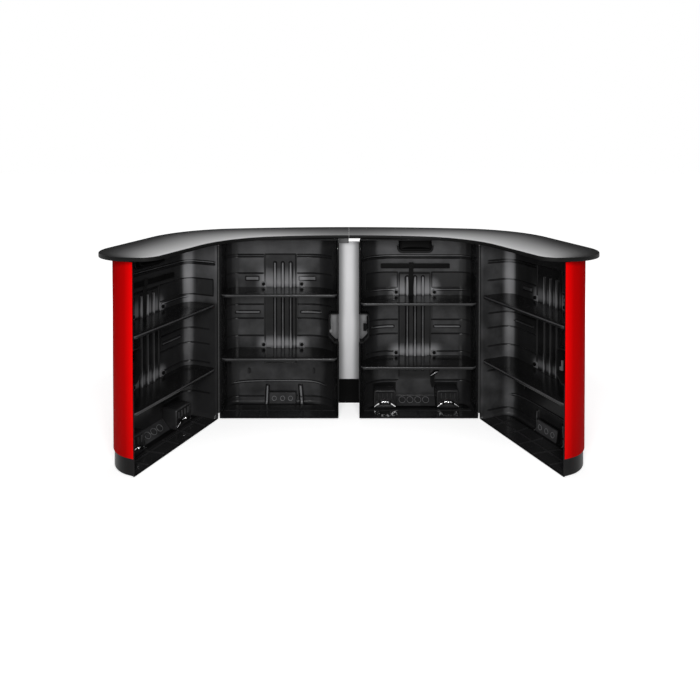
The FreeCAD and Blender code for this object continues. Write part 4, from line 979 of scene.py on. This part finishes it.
# Sheets
def sheet_run(stand, wraps_free_side):
    """Plan of one face of a sheet: free side, wide corner, back, then a slow bend to the wedge's middle."""
    rim_inset, free_inset, seam_gap = 0.5, 170, 1
    back, wedge = SHELL_DEPTH + stand, WING_ANGLE / 2
    centre = -RIM_GAP - (HINGE_CORNER + HINGE_STAND) / math.tan(wedge)
    radius = back - centre
    bend = arc((HINGE_CORNER, centre), radius, 0, seam_gap / (2 * radius) - wedge, 40)
    if wraps_free_side:
        corner = arc((CURVE_START, FREE_STRAIGHT), FREE_CORNER + stand, math.pi / 2, 0, 48)
        return np.concatenate([[[SHELL_WIDTH + stand, rim_inset]], corner, bend])
    return np.concatenate([[[SHELL_WIDTH - free_inset, back]], bend])


def film_section(low, high, soft):
    """Section of a sheet as (share of its thickness, height), with its four edges cut off by soft."""
    return np.array([(0, low + soft), (soft / 2, low), (1 - soft / 2, low), (1, low + soft),
                     (1, high - soft), (1 - soft / 2, high), (soft / 2, high), (0, high - soft)])


def make_graphic_sheet(seat):
    """A printed sheet: a thin section with cut edges along the plan, with painted shade that deepens the
    colour off the rim.
    """
    wraps, painted_shade_over = seat.spin != 0, 48
    near, far = sheet_run(RAIL, wraps), sheet_run(RAIL + SHEET_THICK, wraps)
    low, high = (corner[2] - FOOT for corner in box_mm(seat.name + "_graphic_sheet"))
    share, height = film_section(low, high, 0.5).T[..., None]
    plan = near[:, None] * (1 - share) + far[:, None] * share
    rings = np.concatenate([plan, np.broadcast_to(height, plan.shape[:2] + (1,))], -1)
    # Painted shade: the red deepens over this run off the rim, on the sheets that wrap the free side.
    tone = (1 - smooth_step(0, painted_shade_over, run_length(far))) * wraps
    fade = np.repeat(np.concatenate([tone[:1], tone, tone[-1:]]), len(share))
    fit(seat, "printed_sheet", "sheet_red", [tube(rings)], sharp=50, fade=fade,
        replaces=seat.name + "_graphic_sheet")


def make_centre_film():
    """The sheet over the gap between the cases: a section by its width, with painted shade towards both sides
    in the gap.
    """
    near_corner, (half, back, high) = box_mm("centre_sheet")
    face, low = near_corner[1:]
    across = [np.linspace(-half + 1, half - 1, 50), np.linspace(-60, 60, 61), [-half, half]]
    x = np.unique(np.concatenate(across))[:, None]
    share, height = film_section(low, high, 0.6).T
    off = np.abs(x)
    thin = 0.4 * smooth_step(half - 1, half, off)
    deep = (face + back) / 2 + (share - 0.5) * (back - face) * (1 - thin)
    rings = joined(x, deep, height) * MM
    # Painted shade on the staff-side face, darker towards both edges of the gap.
    shade = 1 - smooth_step(15, 55, off) * (1 - smooth_step(60, 66, off))
    fade = np.where(share < 0.5, shade, 1)
    fade = np.concatenate([fade[:1], fade, fade[-1:]])
    make_piece("centre_film", "middle", "sheet_grey", [(tube(rings), True)], sharp=50, fade=fade.ravel(),
               replaces="centre_sheet")


# Countertop
board_low, board_high = box_mm("right_top_board")
band_low, band_high = box_mm("right_top_edge_band")
TOP_LOW, TOP_THICK, TOP_BAND = board_low[2], board_high[2] - board_low[2], band_high[1] - board_high[1]


def even_run(path, count):
    """The same path with points at even distances."""
    length = run_length(path)
    where = np.linspace(0, length[-1], count)
    return joined(np.interp(where, length, path[:, 0]), np.interp(where, length, path[:, 1]))


def top_grid(inset, count=260, across=9):
    """Half a crescent, from the joint to the tip: straight columns between the outer and the inner edge.

    Both edges are three arcs, and straight runs join the last two of each."""
    joint, front, inner, near = band_low[0], band_high[1] - RIM_PLANE, 31, RIM_PLANE - band_low[1]
    front_radius, shoulder_radius, tip_radius = 3450, 460, 210
    inner_radius, hollow_radius, heel_radius = 1750, 450, 80
    front_turn, outer_turn, inner_turn, hollow_turn = np.radians([11, 75, 12.2, 70])

    def ahead(point, distance, turn):
        return point[0] + distance * math.sin(turn), point[1] + distance * math.cos(turn)

    def end_centre(middle, step, turn, radius):
        """Centre of the last arc: a step across, then along a straight run until the arc touches near."""
        drop = middle[1] + step * math.cos(turn) + near - radius
        return ahead(ahead(middle, step, turn), drop / math.sin(turn), turn + math.pi / 2)

    front_centre, inner_centre = (joint, front - front_radius), (joint, inner - inner_radius)
    shoulder = ahead(front_centre, front_radius - shoulder_radius, front_turn)
    tip = end_centre(shoulder, shoulder_radius - tip_radius, outer_turn, tip_radius)
    hollow = ahead(inner_centre, inner_radius - hollow_radius, inner_turn)
    heel = end_centre(hollow, hollow_radius + heel_radius, hollow_turn, heel_radius)
    outer_edge = np.concatenate([
        arc(front_centre, front_radius - inset, 0, front_turn),
        arc(shoulder, shoulder_radius - inset, front_turn, outer_turn),
        arc(tip, tip_radius - inset, outer_turn, math.pi),
    ])
    inner_edge = np.concatenate([
        arc(inner_centre, inner_radius + inset, 0, inner_turn),
        arc(hollow, hollow_radius + inset, inner_turn, hollow_turn),
        arc(heel, heel_radius - inset, hollow_turn + math.pi, math.pi),
    ])
    share = np.linspace(0, 1, across)[None, :, None]
    return even_run(outer_edge, count)[:, None] * (1 - share) + even_run(inner_edge, count)[:, None] * share


def make_countertop(side, name, body):
    """Half of the countertop: a board, and a rounded edge band along all of its edge but the joint."""
    def to_row(grid):
        return joined(side * grid[..., 0], RIM_PLANE + grid[..., 1], TOP_LOW + grid[..., 2]) * MM

    plan = top_grid(TOP_BAND)
    row, col = edge_of(*plan.shape[:2])
    board = slab(plan, [(0, height) for height in (0, 0.4, TOP_THICK - 0.4, TOP_THICK)])
    along, across = (np.linspace(0, 1, count) for count in plan.shape[:2])
    # The fade paints a reflection on the board: dark at the outer edge, light towards the inner edge, darker
    # near the joint and towards the tip.
    tone = across ** 1.3 * (0.4 + 0.6 * smooth_step(0, 0.4, along[:, None]))
    tone = tone * (1 - 0.7 * smooth_step(880, 1080, plan[..., 0]))
    fade = np.concatenate([tone.ravel(), np.tile(tone[row, col], len(board[1][0])), tone.ravel()])
    patches = [(to_row(patch), wraps) for patch, wraps in board]
    make_piece(name + "_board_laminate", body, "top_laminate", patches, fade=fade, replaces=name + "_board")
    section = [(TOP_BAND, 0), (1.2, 0), (0.35, 0.35), (0, 1.2), (0, TOP_THICK - 2),
               (0.25, TOP_THICK - 0.9), (0.8, TOP_THICK - 0.2), (1.4, TOP_THICK), (TOP_BAND, TOP_THICK)]
    runs = []
    for inset, height in section:
        grid = top_grid(inset)
        past_joint = grid[row, col][grid.shape[1] - 1:]
        runs.append(np.insert(np.concatenate([past_joint, grid[:1, 0]]), 2, height, axis=1))
    rounded = to_row(tube(np.stack(runs, 1)))
    make_piece(name + "_band_moulding", body, "band_black", [(rounded, True)], sharp=60,
               replaces=name + "_edge_band")


def make_locating_block():
    """A block under the left half that drops into the gap between the cases: a plate with rounded edges."""
    outline = [(-70, -47, 4), (-1, -47, 4), (-1, 0.1, 0.5), (-70, 0.1, 0.5)]
    block = on_wall(plate(outline, 20, 1.5), 0, TOP_LOW, RIM_PLANE + SHELL_DEPTH - 2)
    make_piece("left_top_locating_block", "left_countertop", "keeper_steel", [(block * MM, True)])


for seat in SEATS:
    for part in LINER_PARTS[seat.kind]:
        make_liner(seat, *part)
    make_floor_pan(seat)
    make_rim(seat)
    for level, top in zip(LEVELS, SHELF_TOPS[seat.kind]):
        make_shelf(seat, level, top)
    make_knobs(seat)
    make_recess_plate(seat)
    make_screws(seat)
    make_graphic_sheet(seat)
    if seat.kind == LID:
        make_block_holes(seat)
    else:
        make_grip(seat)
        make_strap_bar(seat)
        make_strap(seat)
        make_buckle(seat)
        make_housing_fronts(seat)
        make_bevel_skin(seat)
        make_scallops(seat)
        make_grip_lip(seat)
make_countertop(1, "right_top", "right_countertop")
make_countertop(-1, "left_top", "left_countertop")
make_centre_film()
make_locating_block()


# Light, backdrop and camera
WHITE = (1, 1, 1, 1)


def add_to_scene(name, data):
    holder = bpy.data.objects.new(name, data)
    bpy.context.scene.collection.objects.link(holder)
    return holder


def add_light(name, where, target, size, power):
    """A soft rectangular lamp that looks at a point."""
    lamp = bpy.data.lights.new(name, "AREA")
    lamp.shape = "RECTANGLE"
    lamp.size, lamp.size_y = size
    lamp.energy = power
    holder = add_to_scene(name, lamp)
    holder.location = where
    aim = np.array(target) - np.array(where)
    spin = math.atan2(aim[1], aim[0]) - math.pi / 2
    tilt = math.atan2(math.hypot(aim[0], aim[1]), -aim[2])
    holder.rotation_euler = (tilt, 0, spin)
    holder.visible_camera = False


def shows_backdrop(tree):
    """1 for rays that show the backdrop itself: straight from the camera, or by gloss or glass."""
    rays = add_node(tree, "LightPath").outputs
    seen = math_node(tree, "MAXIMUM", rays["Is Camera Ray"], rays["Is Glossy Ray"])
    return math_node(tree, "MAXIMUM", seen, rays["Is Transmission Ray"])


def make_world(ambient):
    """White all round for the camera and for reflections, and a softer even light for everything else."""
    world = bpy.data.worlds.new("studio")
    world.use_nodes = True
    tree = world.node_tree
    strength = spread(tree, shows_backdrop(tree), ambient, 1)
    set_inputs(tree, tree.nodes["Background"], Color=WHITE, Strength=strength)
    bpy.context.scene.world = world


def make_floor(glow):
    """A pale floor that keeps the counter's shadow, lifted towards the white backdrop for the camera."""
    half = 30
    mesh = bpy.data.meshes.new("floor")
    corners = [(-half, -half, 0), (half, -half, 0), (half, half, 0), (-half, half, 0)]
    mesh.from_pydata(corners, [], [(0, 1, 2, 3)])
    floor = add_to_scene("floor", mesh)
    tree, shader = node_tree("floor_white")
    away = add_node(tree, "VectorMath", Vector=add_node(tree, "TexCoord").outputs["Object"])
    away.operation = "LENGTH"
    lift = add_node(tree, "MapRange", Value=away.outputs["Value"], From_Min=1.6, From_Max=3.2,
                    To_Min=glow, To_Max=1)
    seen = math_node(tree, "MULTIPLY", shows_backdrop(tree), lift.outputs["Result"])
    set_inputs(tree, shader, Base_Color=(*grey(0.85), 1), Roughness=1, Specular_IOR_Level=0,
               Emission_Color=WHITE, Emission_Strength=seen)
    mesh.materials.append(MATERIALS["floor_white"])


def make_camera():
    """The photograph's view: eye height, a slight downward tilt, and a shift that keeps uprights upright."""
    camera = bpy.data.cameras.new("camera")
    camera.sensor_width = 36
    camera.lens = 31.63
    camera.shift_x = 0.0015
    camera.shift_y = -0.2747
    camera.clip_end = 200
    holder = add_to_scene("camera", camera)
    holder.location = (0, -3.0569, 1.4158)
    holder.rotation_euler = (math.radians(90 - 0.9), 0, 0)
    bpy.context.scene.camera = holder


bpy.context.scene.view_settings.view_transform = "Standard"
make_world(ambient=0.05)
make_floor(glow=0.55)
make_camera()
add_light("front_softbox", (0, -3.3, 1.75), (0, 0, 0.55), (1.6, 1.1), 125)
add_light("top_softbox", (0, 0.6, 3.8), (0, 0.4, 0), (3.5, 2.5), 40)
add_light("rear_softbox", (0, 3.6, 0.6), (0, 0, 0.6), (2.6, 0.7), 75)
